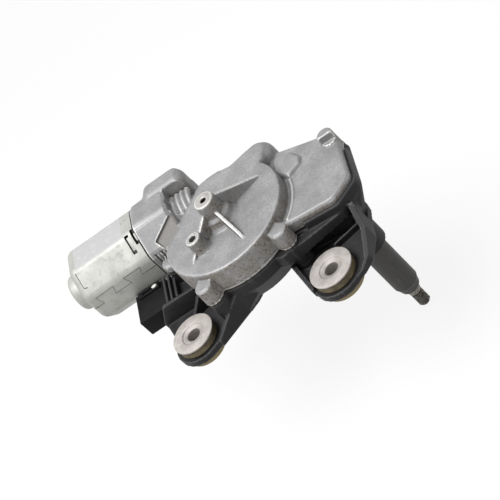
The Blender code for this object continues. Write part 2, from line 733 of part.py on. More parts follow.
def add_drum_and_plate(housing):
    """Valley across the drum's edge, flat plate, screw lugs and corner post, trimmed at the seam."""
    wheel = from_wheel(0, 0)
    below = SEAM_Z - TRIM
    valley = prism([(0, 0), (DRUM_RADIUS, -DRUM_RADIUS * math.tan(CHORD_SLOPE)), (DRUM_RADIUS, DRUM_TOP_Z),
                    (0, DRUM_TOP_Z)], -DRUM_RADIUS, DRUM_RADIUS)
    corner = polar(wheel, DRUM_RADIUS - CHORD_DEPTH, CHORD_ANGLE)
    bmesh.ops.rotate(valley, matrix=Matrix.Rotation(math.pi / 2, 3, "X"), verts=valley.verts)
    bmesh.ops.rotate(valley, matrix=Matrix.Rotation(CHORD_ANGLE, 3, "Z"), verts=valley.verts)
    bmesh.ops.translate(valley, vec=(*corner, DRUM_TOP_Z), verts=valley.verts)
    cut(housing, valley)

    plate = plate_outline()
    add(housing, hull(at_height(plate, below) + at_height(plate, PLATE_TOP_Z - EDGE_ROUND)
                      + at_height(plate_outline(EDGE_ROUND), PLATE_TOP_Z)))
    for lug, lug_top in list(zip(lug_places(), lug_tops()))[:3]:
        outward = math.atan2(lug[1] - wheel[1], lug[0] - wheel[0])
        root = polar(wheel, DRUM_RADIUS - LUG_ROOT_DEPTH, outward)
        add(housing, hull(post_points(lug, LUG_RADIUS, below, lug_top)
                          + at_height(circle(root, LUG_RADIUS, SMALL_STEPS), below)
                          + at_height(circle(root, LUG_RADIUS - LUG_EDGE, SMALL_STEPS), lug_top)))
    post_top = PLATE_TOP_Z + CORNER_POST_HEIGHT
    add(housing, hull(post_points(CORNER_POST, CORNER_POST_RADIUS, below, post_top)))
    cut(housing, box(shifted(CORNER_POST, -REACH, -REACH) + (PLATE_TOP_Z + POST_FOOT,),
                     shifted(CORNER_POST, REACH, -POST_FLAT) + (post_top + REACH,)))
    arc = [BEAD_START + (BEAD_END - BEAD_START) * step / BEAD_STEPS for step in range(BEAD_STEPS + 1)]
    bead = [polar(wheel, BEAD_RING_RADIUS + BEAD_WIDTH / 2, angle) for angle in arc] \
        + [polar(wheel, BEAD_RING_RADIUS - BEAD_WIDTH / 2, angle) for angle in reversed(arc)]
    add(housing, prism(bead, PLATE_TOP_Z - SINK, PLATE_TOP_Z + BEAD_HEIGHT))
    cut(housing, level_block(below - REACH, SEAM_Z))


def add_tunnel_and_hood(housing):
    """Worm tunnel with a domed end on its skirt, and the hood that closes down to it."""
    axis = (MOTOR_Y, MOTOR_Z)
    tunnel_end = WHEEL_X + TUNNEL_END
    tunnel = circle(axis, TUNNEL_RADIUS)
    nose = circle(axis, TUNNEL_RADIUS * TUNNEL_NOSE)
    add(housing, hull(at_x(tunnel, HOOD_END_X - REACH) + at_x(tunnel, tunnel_end)
                      + at_x(nose, tunnel_end + TUNNEL_DOME)))
    hump = shifted((tunnel_end, MOTOR_Y), *HUMP_OFFSET)
    add(housing, hull(at_height(circle(hump, HUMP_RADIUS), SEAM_Z)
                      + at_height(circle(hump, HUMP_RADIUS), HUMP_TOP_Z - HUMP_ROUND)
                      + at_height(circle(hump, HUMP_RADIUS - HUMP_ROUND / 2), HUMP_TOP_Z - HUMP_ROUND / 4)
                      + at_height(circle(hump, HUMP_RADIUS - HUMP_ROUND, SMALL_STEPS), HUMP_TOP_Z)))
    add(housing, box((WHEEL_X - SKIRT_START, WHEEL_Y + SKIRT_FRONT, SEAM_Z),
                     (tunnel_end + SKIRT_OVERRUN, MOTOR_Y + SKIRT_BACK, MOTOR_Z + SKIRT_RISE)))

    hood = hood_section()
    hood_end = hood_section(-HOOD_EDGE)
    hood_back = HOOD_END_X - HOOD_EDGE_LENGTH
    add(housing, hull(at_x(hood, HOOD_MOUTH_X) + at_x(hood, hood_back) + at_x(hood_end, HOOD_END_X)))
    add(housing, hull(at_x(hood_end, hood_back) + at_x(tunnel, HOOD_END_X + HOOD_CLOSING)))

    start = HOOD_MOUTH_X + BACK_BLOCK_START
    end = start + BACK_BLOCK_LENGTH
    corners = [(MOTOR_Y + BACK_BLOCK_FRONT, MOTOR_Z - BACK_BLOCK_DEPTH),
               (MOTOR_Y + BACK_BLOCK_REACH, MOTOR_Z - BACK_BLOCK_DEPTH),
               (MOTOR_Y + BACK_BLOCK_REACH, MOTOR_Z + BACK_BLOCK_TOP),
               (MOTOR_Y + BACK_BLOCK_FRONT, MOTOR_Z + BACK_BLOCK_TOP)]
    block = rounded(corners, BACK_BLOCK_ROUND)
    block_end = rounded(inset(corners, BACK_BLOCK_EDGE), BACK_BLOCK_ROUND / 2)
    add(housing, hull(at_x(block_end, start - BACK_BLOCK_EDGE) + at_x(block, start)
                      + at_x(block, end - BACK_BLOCK_EDGE) + at_x(block_end, end)))

    # Pocket beside the hood, with its fluted post
    floor = DRUM_TOP_Z - POCKET_DEPTH
    left = HOOD_END_X - SINK - WHEEL_X
    right = left + POCKET_LENGTH
    back_y = CENTRE_DISTANCE + POCKET_BACK
    chord = DRUM_RADIUS - CHORD_DEPTH + POCKET_RIM
    pocket = [(left, POCKET_FRONT),
              ((chord - POCKET_FRONT * math.sin(CHORD_ANGLE)) / math.cos(CHORD_ANGLE), POCKET_FRONT),
              (right, (chord - right * math.cos(CHORD_ANGLE)) / math.sin(CHORD_ANGLE)),
              (right, back_y), (left, back_y)]
    cut(housing, prism([from_wheel(*corner) for corner in pocket], floor, DRUM_TOP_Z + BACK_BLOCK_TOP))
    post = from_wheel(*POST_OFFSET)
    post_top = floor + POST_HEIGHT
    add(housing, drum(POST_RADIUS, floor - SINK, post_top, post, SMALL_STEPS))
    for angle in FLUTE_ANGLES:
        flute = polar(post, FLUTE_RING_RADIUS, angle)
        cut(housing, drum(FLUTE_RADIUS, floor + GAP, post_top + REACH, flute, TINY_STEPS))


def gusset(angle, reach, height):
    """Triangular rib that runs from the central boss down to the drum's face."""
    centre = from_wheel(0, 0)
    points = []
    for side in (-RIB_THICKNESS / 2, RIB_THICKNESS / 2):
        aside = polar((0, 0), side, angle + math.pi / 2)
        inner = shifted(polar(centre, BOSS_RADIUS / 2, angle), *aside)
        outer = shifted(polar(centre, reach, angle), *aside)
        points += [(*inner, DRUM_TOP_Z - SINK), (*inner, DRUM_TOP_Z + height),
                   (*outer, DRUM_TOP_Z - SINK), (*outer, DRUM_TOP_Z + RIB_TOE)]
    return hull(points)


def add_bosses(housing):
    """Central boss on its stepped foot, gussets, small boss and the shield-shaped pad."""
    wheel = from_wheel(0, 0)
    face = DRUM_TOP_Z
    flare = BOSS_FOOT_RADIUS + BOSS_FLARE
    add(housing, turned([
        (0, face - SINK), (flare, face - SINK), (flare, face), (BOSS_FOOT_RADIUS, face + BOSS_FLARE),
        (BOSS_FOOT_RADIUS - BOSS_FLARE / 2, face + BOSS_FOOT_HEIGHT),
        (BOSS_RADIUS + BOSS_FLARE / 2, face + BOSS_FOOT_HEIGHT + BOSS_FLARE),
        (BOSS_RADIUS, face + BOSS_HEIGHT), (0, face + BOSS_HEIGHT)], wheel))
    small_reach = math.hypot(*SMALL_BOSS_OFFSET)
    small_rib = (math.atan2(SMALL_BOSS_OFFSET[1], SMALL_BOSS_OFFSET[0]), small_reach + SMALL_BOSS_RIB_REACH,
                 SMALL_BOSS_HEIGHT + SMALL_BOSS_RIB_RISE)
    for rib in (RIGHT_RIB, FRONT_RIB, small_rib):
        add(housing, gusset(*rib))
    small_boss = from_wheel(*SMALL_BOSS_OFFSET)
    small_top = face + SMALL_BOSS_HEIGHT
    add(housing, turned([
        (0, face - SINK), (SMALL_BOSS_RADIUS + BOSS_FLARE, face - SINK),
        (SMALL_BOSS_RADIUS + BOSS_FLARE / 3, face + BOSS_FLARE), (SMALL_BOSS_RADIUS, small_top),
        (0, small_top)], small_boss, SMALL_STEPS))
    cut(housing, drum(SMALL_BOSS_HOLE_RADIUS, face + SINK, small_top + REACH, small_boss, TINY_STEPS))

    pad = [from_wheel(*corner) for corner in PAD_CORNERS]
    pad_side = rounded(pad, PAD_ROUND)
    add(housing, hull(at_height(pad_side, PLATE_TOP_Z - SINK)
                      + at_height(pad_side, PLATE_TOP_Z + PAD_HEIGHT - PAD_EDGE)
                      + at_height(rounded(inset(pad, PAD_EDGE), PAD_ROUND), PLATE_TOP_Z + PAD_HEIGHT)))


def hollow_casting(housing):
    """Gear chamber, rocker chamber, worm bore, brush room, axle seat and screw holes."""
    wheel = from_wheel(0, 0)
    low = SEAM_Z - REACH
    roof = DRUM_TOP_Z - CAST_WALL
    cut(housing, turned([(0, low), (CAVITY_RADIUS, low), (CAVITY_RADIUS, WHEEL_TOP_Z + GAP),
                         (CAVITY_RADIUS - ROOF_SLOPE, roof), (0, roof)], wheel, INNER_STEPS))
    hub_low = WHEEL_TOP_Z + 2 * GAP
    add(housing, turned([(0, roof + SINK), (0, hub_low), (INNER_HUB_RADIUS, hub_low),
                         (INNER_HUB_RADIUS + INNER_HUB_FLARE, roof + SINK)], wheel))
    cut(housing, prism(chamber_outline(CAST_WALL), low, PLATE_TOP_Z - CAST_WALL))
    cut(housing, drum_x(WORM_BORE_RADIUS, HOOD_MOUTH_X - REACH, WORM_BORE_END_X))
    cut(housing, drum_x(HOOD_BORE_RADIUS, HOOD_MOUTH_X - REACH, HOOD_MOUTH_X + BRUSH_ROOM))
    cut(housing, drum(AXLE_RADIUS + GAP, low, AXLE_TOP_Z + GAP, wheel, SMALL_STEPS))
    cut(housing, drum(BOSS_HOLE_RADIUS, AXLE_TOP_Z, DRUM_TOP_Z + BOSS_HEIGHT + REACH, wheel, TINY_STEPS))
    for lug, lug_top in zip(lug_places(), lug_tops()):
        cut(housing, drum(SCREW_RADIUS + GAP, low, lug_top - LUG_ROOF + GAP, lug, TINY_STEPS))


def build_gear_housing():
    """Cast housing: gear drum, plate, worm tunnel and motor hood, hollow from below."""
    top_radius = DRUM_RADIUS - DRUM_DRAFT
    below = SEAM_Z - TRIM
    third = ROUND_SHARE * EDGE_ROUND
    profile = [(0, below), (DRUM_RADIUS, below), (top_radius, DRUM_TOP_Z - EDGE_ROUND),
               (top_radius - third, DRUM_TOP_Z - third), (top_radius - EDGE_ROUND, DRUM_TOP_Z),
               (0, DRUM_TOP_Z)]
    housing = part("gear_housing", turned(profile, from_wheel(0, 0), FINE_STEPS), "cast_aluminium")
    add_drum_and_plate(housing)
    add_tunnel_and_hood(housing)
    add_bosses(housing)
    hollow_casting(housing)


def web(first, second, thickness, first_top, second_top, first_low=WEB_LOW_Z, second_low=WEB_LOW_Z):
    """Upright web between two plan points, with its own heights at each end."""
    angle = math.atan2(second[1] - first[1], second[0] - first[0])
    points = []
    for end, low, top in ((first, first_low, first_top), (second, second_low, second_top)):
        for side in (-thickness / 2, thickness / 2):
            aside = polar(end, side, angle + math.pi / 2)
            points += [(*aside, low), (*aside, top)]
    return hull(points)


def screw_pillar(lug, low, high):
    """Pillar round a screw, joined to the wall beside it."""
    wheel = from_wheel(0, 0)
    inward = math.atan2(wheel[1] - lug[1], wheel[0] - lug[0])
    root = polar(lug, LUG_RADIUS, inward)
    outline = circle(lug, LUG_RADIUS - PILLAR_DRAFT, SMALL_STEPS) \
        + circle(root, LUG_RADIUS - PILLAR_ROOT_SHRINK, TINY_STEPS)
    return loft(outline, low, high)


def cut_casting_room(piece):
    """Clear the casting's worm tunnel and hood where they dip below the seam."""
    cut(piece, drum_x(TUNNEL_RADIUS + GAP, HOOD_MOUTH_X, WHEEL_X + TUNNEL_END + TUNNEL_DOME + GAP))
    cut(piece, bar(hood_section(GAP), HOOD_MOUTH_X - REACH, HOOD_END_X + HOOD_CLOSING + SINK))


def add_arms(tub):
    """Arms to the fixing eyes, with the webs and the side wall that stiffen them."""
    side_x = PLATE_RIGHT - SIDE_WALL_SETBACK
    knee = (side_x - SIDE_WALL_LEAN, PLATE_FRONT - SIDE_WALL_KNEE)
    back = (side_x, PLATE_BACK_RIGHT[1] - SIDE_WALL_BACK)
    end = shifted(RIGHT_EYE, *SIDE_WALL_END)
    for eye, root, radius, corners in (
            (LEFT_EYE, LEFT_ARM_ROOT, LEFT_ARM_RADIUS, [from_wheel(*LEFT_FRONT_WEB[0])]),
            (RIGHT_EYE, RIGHT_ARM_ROOT, RIGHT_ARM_RADIUS, [from_wheel(*RIGHT_LEFT_WEB[0]), end]),
            (REAR_EYE, REAR_ARM_ROOT, REAR_ARM_RADIUS, [])):
        outline = circle(eye, EYE_RIM_RADIUS) + circle(from_wheel(*root), radius) + corners
        add(tub, loft(outline, EYE_BOTTOM_Z, EYE_TOP_Z))
    tall = TUB_TOP_Z - WEB_DROP
    for eye, (start, end, rise), top in ((LEFT_EYE, LEFT_FRONT_WEB, tall), (LEFT_EYE, LEFT_BACK_WEB, tall),
                                         (RIGHT_EYE, RIGHT_LEFT_WEB, tall - RIGHT_LEFT_WEB_DROP),
                                         (RIGHT_EYE, RIGHT_INNER_WEB, tall)):
        add(tub, web(from_wheel(*start), shifted(eye, *end), WEB_THICKNESS, top, EYE_TOP_Z + rise))
    knee_top = tall - SIDE_WALL_DROP
    knee_low = TUB_KNEE_Z - SIDE_WALL_DEPTH
    add(tub, web(back, knee, SIDE_WALL_THICKNESS, TUB_TOP_Z + TRIM, knee_top, TUB_KNEE_Z, knee_low))
    add(tub, web(knee, end, SIDE_WALL_THICKNESS, knee_top, EYE_TOP_Z + SIDE_WALL_RISE, knee_low, WEB_LOW_Z))


def lip_outline():
    """Plan of the lip that stands up round the plate's front and right side."""
    sides = []
    for distance in (GAP, GAP + LIP_WALL):
        corners = inset(plate_corners(), -distance)
        bends = rounded(corners, PLATE_CORNER_ROUND, PLATE_CORNER_STEPS)
        count = len(bends) // len(corners)
        sides.append([between(corners[0], corners[1], LIP_START)] + bends[count:3 * count]
                     + [between(corners[2], corners[3], LIP_END)])
    return sides[1] + sides[0][::-1]


def build_lower_housing():
    """Plastic tub under the casting, with its fixing eyes and the spindle's collar."""
    wheel = from_wheel(0, 0)
    over = TUB_TOP_Z + TRIM
    tub = part("lower_housing", turned([
        (0, TUB_BOTTOM_Z), (TUB_RADIUS - TUB_TAPER, TUB_BOTTOM_Z), (TUB_RADIUS, TUB_KNEE_Z),
        (TUB_RADIUS, over), (0, over)], wheel, FINE_STEPS), "black_plastic")
    rim = plate_outline(RIM_STEP)
    base = [(min(x, CHAMBER_RIGHT - TUB_BASE_INSET), y) for x, y in rim]
    add(tub, hull(at_height(base, TUB_BOTTOM_Z - SINK) + at_height(plate_outline(-SHOULDER), PLATE_KNEE_Z)
                  + at_height(rim, over + SINK)))
    add_arms(tub)
    flare_end = TUB_BOTTOM_Z - COLLAR_FLARE_LENGTH
    add(tub, turned([(0, TUB_BOTTOM_Z + SINK), (COLLAR_RADIUS + COLLAR_FLARE, TUB_BOTTOM_Z + SINK),
                     (COLLAR_RADIUS + COLLAR_FLARE / 3, TUB_BOTTOM_Z - COLLAR_FLARE_LENGTH / 2),
                     (COLLAR_RADIUS, flare_end), (COLLAR_RADIUS, COLLAR_BOTTOM_Z + SINK),
                     (COLLAR_RADIUS - SINK, COLLAR_BOTTOM_Z), (0, COLLAR_BOTTOM_Z)], (0, 0)))
    for lug, seat in zip(lug_places(), screw_seats()):
        add(tub, screw_pillar(lug, seat, over + 2 * SINK))
    neck_y = SOCKET_LOW[1] + SOCKET_NECK_INSET
    neck_z = SOCKET_LOW[2] + SOCKET_NECK_INSET
    add(tub, box((SOCKET_BACK_X + GAP, neck_y, neck_z),
                 (WHEEL_X - DRUM_RADIUS + SOCKET_NECK_OVERLAP, neck_y + SOCKET_WIDTH - 2 * SOCKET_NECK_INSET,
                  neck_z + SOCKET_HEIGHT - 2 * SOCKET_NECK_INSET)))

    # Level rim, hollow inside, and room for the casting, the spindle tube, the eyes and the screws
    cut(tub, level_block(TUB_TOP_Z, over + REACH))
    add(tub, prism(lip_outline(), PLATE_KNEE_Z + SINK, LIP_TOP_Z))
    cut(tub, turned([(0, TUB_FLOOR_Z), (TUB_ROOM_RADIUS - TUB_TAPER, TUB_FLOOR_Z),
                     (TUB_ROOM_RADIUS, TUB_KNEE_Z + PLASTIC_WALL), (TUB_ROOM_RADIUS, over), (0, over)],
                    wheel, INNER_STEPS))
    cut(tub, prism(chamber_outline(PLASTIC_WALL), TUB_FLOOR_Z, over))
    add(tub, drum(COLLAR_RADIUS, TUB_FLOOR_Z - SINK, TUBE_TOP_Z - GAP, (0, 0)))
    cut(tub, drum(TUBE_RADIUS + GAP, COLLAR_BOTTOM_Z - REACH, over, (0, 0)))
    cut_casting_room(tub)
    for eye in (LEFT_EYE, RIGHT_EYE, REAR_EYE):
        cut(tub, drum(EYE_HOLE_RADIUS, EYE_BOTTOM_Z - REACH, EYE_TOP_Z + REACH, eye))
        cut(tub, drum(BUSH_FLANGE_RADIUS + EYE_CLEARANCE, EYE_SEAT_Z, over, eye))
    for lug, seat in zip(lug_places(), screw_seats()):
        cut(tub, drum(SCREW_RADIUS + GAP, -REACH, over, lug, TINY_STEPS))
        cut(tub, drum(SCREW_HEAD_RADIUS + GAP, -REACH, seat, lug, SMALL_STEPS))


def build_gasket():
    """Thin seal that follows the seam between casting and tub."""
    wheel = from_wheel(0, 0)
    under = GASKET_BOTTOM_Z - REACH
    over = GASKET_TOP_Z + REACH
    disc = drum(TUB_RADIUS - RIM_STEP, GASKET_BOTTOM_Z - SINK, GASKET_TOP_Z + SINK, wheel, FINE_STEPS)
    gasket = part("housing_gasket", disc, "olive_rubber")
    add(gasket, prism(plate_outline(2 * RIM_STEP), GASKET_BOTTOM_Z - 2 * SINK, GASKET_TOP_Z + 2 * SINK))
    for lug in lug_places():
        add(gasket, screw_pillar(lug, GASKET_BOTTOM_Z - 3 * SINK, GASKET_TOP_Z + 3 * SINK))
    cut(gasket, level_block(GASKET_TOP_Z, over))
    cut(gasket, level_block(under, GASKET_BOTTOM_Z))
    cut(gasket, drum(TUB_ROOM_RADIUS, under, over, wheel, INNER_STEPS))
    cut(gasket, prism(chamber_outline(PLASTIC_WALL), under, over))
    cut_casting_room(gasket)
    for lug in lug_places():
        cut(gasket, drum(SCREW_RADIUS + GAP, under, over, lug, TINY_STEPS))


def build_fixings():
    """Rubber grommets with their spacer bushes, and the housing screws."""
    flange_low = BUSH_TOP_Z - BUSH_FLANGE_THICKNESS
    recess = BUSH_TOP_Z - BUSH_RECESS_DEPTH
    sleeve = BUSH_RADIUS + GAP
    neck = EYE_HOLE_RADIUS - GAP
    inner = GROMMET_RADIUS - GROMMET_EDGE
    top = flange_low - GAP
    upper = EYE_SEAT_Z + GAP
    lower = EYE_BOTTOM_Z - GAP
    for name, eye in (("left", LEFT_EYE), ("right", RIGHT_EYE), ("rear", REAR_EYE)):
        part(f"grommet_{name}", turned([
            (sleeve, GROMMET_FOOT_Z), (inner, GROMMET_FOOT_Z), (GROMMET_RADIUS, lower), (neck, lower),
            (neck, upper), (GROMMET_RADIUS, upper), (GROMMET_RADIUS, top - GROMMET_EDGE), (inner, top),
            (sleeve, top)], eye), "olive_rubber")
        part(f"mount_bush_{name}", turned([
            (BUSH_BORE_RADIUS, 0), (BUSH_RADIUS, 0), (BUSH_RADIUS, flange_low),
            (BUSH_FLANGE_RADIUS, flange_low), (BUSH_FLANGE_RADIUS, BUSH_TOP_Z),
            (BUSH_RECESS_RADIUS, BUSH_TOP_Z), (BUSH_RECESS_RADIUS, recess),
            (BUSH_BORE_RADIUS, recess)], eye), "bush_metal")
    for index, (lug, lug_top, tub_seat) in enumerate(zip(lug_places(), lug_tops(), screw_seats())):
        seat = tub_seat - GAP
        head = seat - SCREW_HEAD_HEIGHT
        tip = lug_top - LUG_ROOF
        part(f"housing_screw_{index + 1}", turned([
            (0, head), (SCREW_HEAD_RADIUS - SCREW_CHAMFER, head), (SCREW_HEAD_RADIUS, head + SCREW_CHAMFER),
            (SCREW_HEAD_RADIUS, seat), (SCREW_RADIUS, seat), (SCREW_RADIUS, tip - SCREW_CHAMFER),
            (SCREW_RADIUS - SCREW_CHAMFER, tip), (0, tip)], lug, TINY_STEPS), "steel")


def can_section(distance=0.0):
    """Eight-sided can outline over (y, z), moved inwards by a distance."""
    corners = polygon(CAN_ACROSS_FLATS - 2 * distance, 8, (MOTOR_Y, MOTOR_Z))
    return rounded(corners, max(CAN_CORNER_ROUND - distance, SINK))


def build_can():
    """Drawn steel can with rounded end, bearing pot and staking slot."""
    axis = (0, MOTOR_Y, MOTOR_Z)
    third = ROUND_SHARE * CAN_END_ROUND
    section = can_section()
    can = part("motor_can", hull(at_x(section, CAN_MOUTH_X) + at_x(section, CAN_END_X + CAN_END_ROUND)
                                 + at_x(can_section(third), CAN_END_X + third)
                                 + at_x(can_section(CAN_END_ROUND), CAN_END_X)), "zinc_plated_steel")
    pot_end = CAN_END_X - BEARING_POT_DEPTH
    pot_root = CAN_END_X + 2 * SINK
    add(can, turned_x([(0, pot_root), (0, pot_end), (BEARING_POT_RADIUS - POT_ROUND, pot_end),
                       (BEARING_POT_RADIUS, pot_end + POT_ROUND), (BEARING_POT_RADIUS, pot_root)]))
    floor = CAN_END_X + CAN_WALL
    room = can_section(CAN_WALL)
    cut(can, hull(at_x(room, CAN_MOUTH_X + REACH) + at_x(room, floor + CAN_END_ROUND)
                  + at_x(can_section(CAN_WALL + (1 - ROUND_SHARE) * CAN_END_ROUND), floor)))
    cut(can, drum_x(BEARING_POT_RADIUS - CAN_WALL, POT_FLOOR_X, floor + REACH, SMALL_STEPS))
    length, width = CAN_SLOT
    slot_end = CAN_MOUTH_X - CAN_SLOT_START
    slot = box((slot_end - length, MOTOR_Y - width / 2, MOTOR_Z),
               (slot_end, MOTOR_Y + width / 2, MOTOR_Z + CAN_ACROSS_FLATS))
    bmesh.ops.rotate(slot, cent=axis, matrix=Matrix.Rotation(CAN_SLOT_ANGLE, 3, "X"), verts=slot.verts)
    cut(can, slot)


def magnet_outline(middle):
    """Outline over (y, z) of a curved magnet."""
    axis = (MOTOR_Y, MOTOR_Z)
    angles = [middle + MAGNET_ARC * (i / MAGNET_STEPS - 0.5) for i in range(MAGNET_STEPS + 1)]
    outer = [polar(axis, MAGNET_OUTER_RADIUS, angle) for angle in angles]
    inner = [polar(axis, MAGNET_INNER_RADIUS, angle) for angle in reversed(angles)]
    return outer + inner


def repeated_outline(count, points):
    """Outline over (y, z) of (radius, share of the pitch) points repeated round the motor's axis."""
    pitch = 2 * math.pi / count
    return [polar((MOTOR_Y, MOTOR_Z), radius, (index + share) * pitch)
            for index in range(count) for radius, share in points]


def core_outline():
    """Slotted lamination outline over (y, z)."""
    hub = CORE_RADIUS * CORE_HUB_SHARE
    shoe = CORE_RADIUS * CORE_SHOE_SHARE
    shoe_arc, neck_arc, root_arc = CORE_ARCS
    half_tooth = [(CORE_RADIUS, shoe_arc), (shoe, shoe_arc), (shoe, neck_arc), (hub, root_arc)]
    mirrored = [(radius, -share) for radius, share in reversed(half_tooth)]
    return repeated_outline(CORE_SLOTS, mirrored + [(CORE_RADIUS, 0.0)] + half_tooth)


def commutator_outline():
    """Commutator outline over (y, z), with a slot between its bars."""
    inner = COMMUTATOR_RADIUS - COMMUTATOR_SLOT
    return repeated_outline(CORE_SLOTS, [(COMMUTATOR_RADIUS, 0.06), (COMMUTATOR_RADIUS, 0.5),
                                         (COMMUTATOR_RADIUS, 0.94), (inner, 0.95), (inner, 1.05)])


def tooth_half_width(distance):
    """Half of a tooth's thickness at a distance outside the pitch line."""
    return TOOTH_PITCH / 4 - BACKLASH / 2 - distance * math.tan(PRESSURE_ANGLE)


def worm_section():
    """Radius and angle of the worm's cross section, which the thread turns along the shaft."""
    turn = 2 * math.pi / TOOTH_PITCH
    flank = []
    for step in range(WORM_FLANK_STEPS + 1):
        radius = WORM_ROOT_RADIUS + (WORM_TIP_RADIUS - WORM_ROOT_RADIUS) * step / WORM_FLANK_STEPS
        flank.append((radius, turn * tooth_half_width(radius - WORM_PITCH_RADIUS)))
    rising = [(radius, -angle) for radius, angle in flank]
    root_start = flank[0][1]
    root_turn = 2 * (math.pi - root_start)
    root = [(WORM_ROOT_RADIUS, root_start + root_turn * i / WORM_ROOT_STEPS)
            for i in range(1, WORM_ROOT_STEPS)]
    return rising + flank[::-1] + root


def worm():
    """Worm thread as its cross section twisted along the shaft."""
    section = worm_section()
    count = round(WORM_LENGTH / TOOTH_PITCH * WORM_STEPS_PER_TURN)
    shape = bmesh.new()
    rings = []
    for step in range(count + 1):
        x = WORM_LENGTH * (step / count - 0.5)
        twist = 2 * math.pi * x / TOOTH_PITCH
        points = [polar((MOTOR_Y, MOTOR_Z), radius, angle + twist) for radius, angle in section]
        rings.append([shape.verts.new((WHEEL_X + x, y, z)) for y, z in points])
    join_rings(shape, rings)
    return tidy(shape)


def join_rings(shape, rings):
    """Skin a row of equal rings with triangles, and close both ends flat."""
    for first, second in zip(rings, rings[1:]):
        for i in range(len(first)):
            j = (i + 1) % len(first)
            shape.faces.new((first[i], second[i], second[j]))
            shape.faces.new((first[i], second[j], first[j]))
    shape.faces.new(rings[0])
    shape.faces.new(rings[-1])


def build_armature():
    """Armature shaft with the worm, its core, windings and commutator."""
    pivot = (WHEEL_X, MOTOR_Y, MOTOR_Z)
    radius = ARMATURE_SHAFT_RADIUS
    chamfer = SHAFT_CHAMFER
    rear = POT_FLOOR_X + 2 * GAP
    shaft = part("armature_shaft", worm(), "steel", pivot)
    end = ARMATURE_END_X
    add(shaft, turned_x([(0, rear), (0, end), (radius - chamfer, end), (radius, end - chamfer),
                         (radius, rear + chamfer), (radius - chamfer, rear)], SMALL_STEPS))
    bore = radius + GAP
    core_end = CORE_START_X + CORE_LENGTH
    core = part("armature_core", bar(core_outline(), CORE_START_X, core_end), "laminated_iron", pivot)
    cut(core, drum_x(bore, CORE_START_X - REACH, core_end + REACH, SMALL_STEPS))
    swell = CORE_RADIUS * WINDING_SHARE
    for name, start, depth in (("winding_rear", CORE_START_X - GAP, -WINDING_DEPTH),
                               ("winding_front", core_end + GAP, WINDING_DEPTH)):
        profile = [(bore, start), (swell, start), (swell, start + WINDING_SHOULDER * depth),
                   (WINDING_END * swell, start + depth), (bore, start + WINDING_DIP * depth)]
        part(name, turned_x(profile, SMALL_STEPS), "copper", pivot)
    bars_end = COMMUTATOR_START_X + COMMUTATOR_LENGTH
    bars = part("commutator", bar(commutator_outline(), COMMUTATOR_START_X, bars_end), "copper", pivot)
    cut(bars, drum_x(bore, COMMUTATOR_START_X - REACH, bars_end + REACH, SMALL_STEPS))


def build_motor_fixed():
    """Magnets, bearings and brush gear, which stay still."""
    for name, middle in (("magnet_upper", math.pi / 2), ("magnet_lower", -math.pi / 2)):
        part(name, bar(magnet_outline(middle), MAGNET_START_X, MAGNET_START_X + MAGNET_LENGTH), "ferrite")
    inner = ARMATURE_SHAFT_RADIUS + RUNNING_GAP
    seat = WORM_BORE_RADIUS - GAP
    for name, outer, start in (("rear_bearing", BEARING_POT_RADIUS - CAN_WALL - GAP, POT_FLOOR_X + GAP),
                               ("front_bearing", seat, FRONT_BEARING_X),
                               ("worm_end_bearing", seat, END_BEARING_X)):
        end = start + BEARING_LENGTH
        edge = outer - BEARING_CHAMFER
        profile = [(inner, start), (inner, end), (edge, end), (outer, end - BEARING_CHAMFER),
                   (outer, start + BEARING_CHAMFER), (edge, start)]
        part(name, turned_x(profile, SMALL_STEPS), "bearing_bronze")
    pad_start = ARMATURE_END_X + RUNNING_GAP
    pad_end = WORM_BORE_END_X - GAP
    part("thrust_pad", turned_x([(0, pad_start), (0, pad_end), (seat, pad_end), (seat, pad_start + SINK),
                                 (ARMATURE_SHAFT_RADIUS, pad_start)], SMALL_STEPS), "steel")
    plate_end = BRUSH_PLATE_X + BRUSH_PLATE_THICKNESS
    plate = part("brush_plate", drum_x(HOOD_BORE_RADIUS - GAP, BRUSH_PLATE_X, plate_end), "brown_card")
    cut(plate, drum_x(COMMUTATOR_RADIUS + BRUSH_PLATE_WINDOW, BRUSH_PLATE_X - REACH, plate_end + REACH))
    length, width, height = BRUSH_SIZE
    start = plate_end + GAP
    low = COMMUTATOR_RADIUS + RUNNING_GAP
    high = low + height
    for index, side in enumerate((1, -1)):
        faces = sorted((MOTOR_Z + side * low, MOTOR_Z + side * high))
        part(f"carbon_brush_{index + 1}", box((start, MOTOR_Y - width / 2, faces[0]),
                                              (start + length, MOTOR_Y + width / 2, faces[1])), "carbon")
        spring_low = high + GAP + SPRING_WIRE
        coil(f"brush_spring_{index + 1}", (start + length / 2, MOTOR_Y), MOTOR_Z + side * spring_low,
             MOTOR_Z + side * (HOOD_BORE_RADIUS - SINK))


def coil(name, centre, start, end):
    """Compression spring between two heights."""
    count = SPRING_TURNS * SPRING_STEPS
    curve = bpy.data.curves.new(name, "CURVE")
    curve.dimensions = "3D"
    curve.bevel_depth = SPRING_WIRE
    curve.bevel_resolution = 0
    curve.use_fill_caps = True
    spline = curve.splines.new("POLY")
    spline.points.add(count)
    for index, point in enumerate(spline.points):
        place_on_turn = polar(centre, SPRING_RADIUS, 2 * math.pi * index / SPRING_STEPS)
        point.co = (*place_on_turn, start + (end - start) * index / count, 1)
    spring = bpy.data.objects.new(name, curve)
    spring.data.materials.append(finish("steel"))
    collection("gear_motor_parts").objects.link(spring)


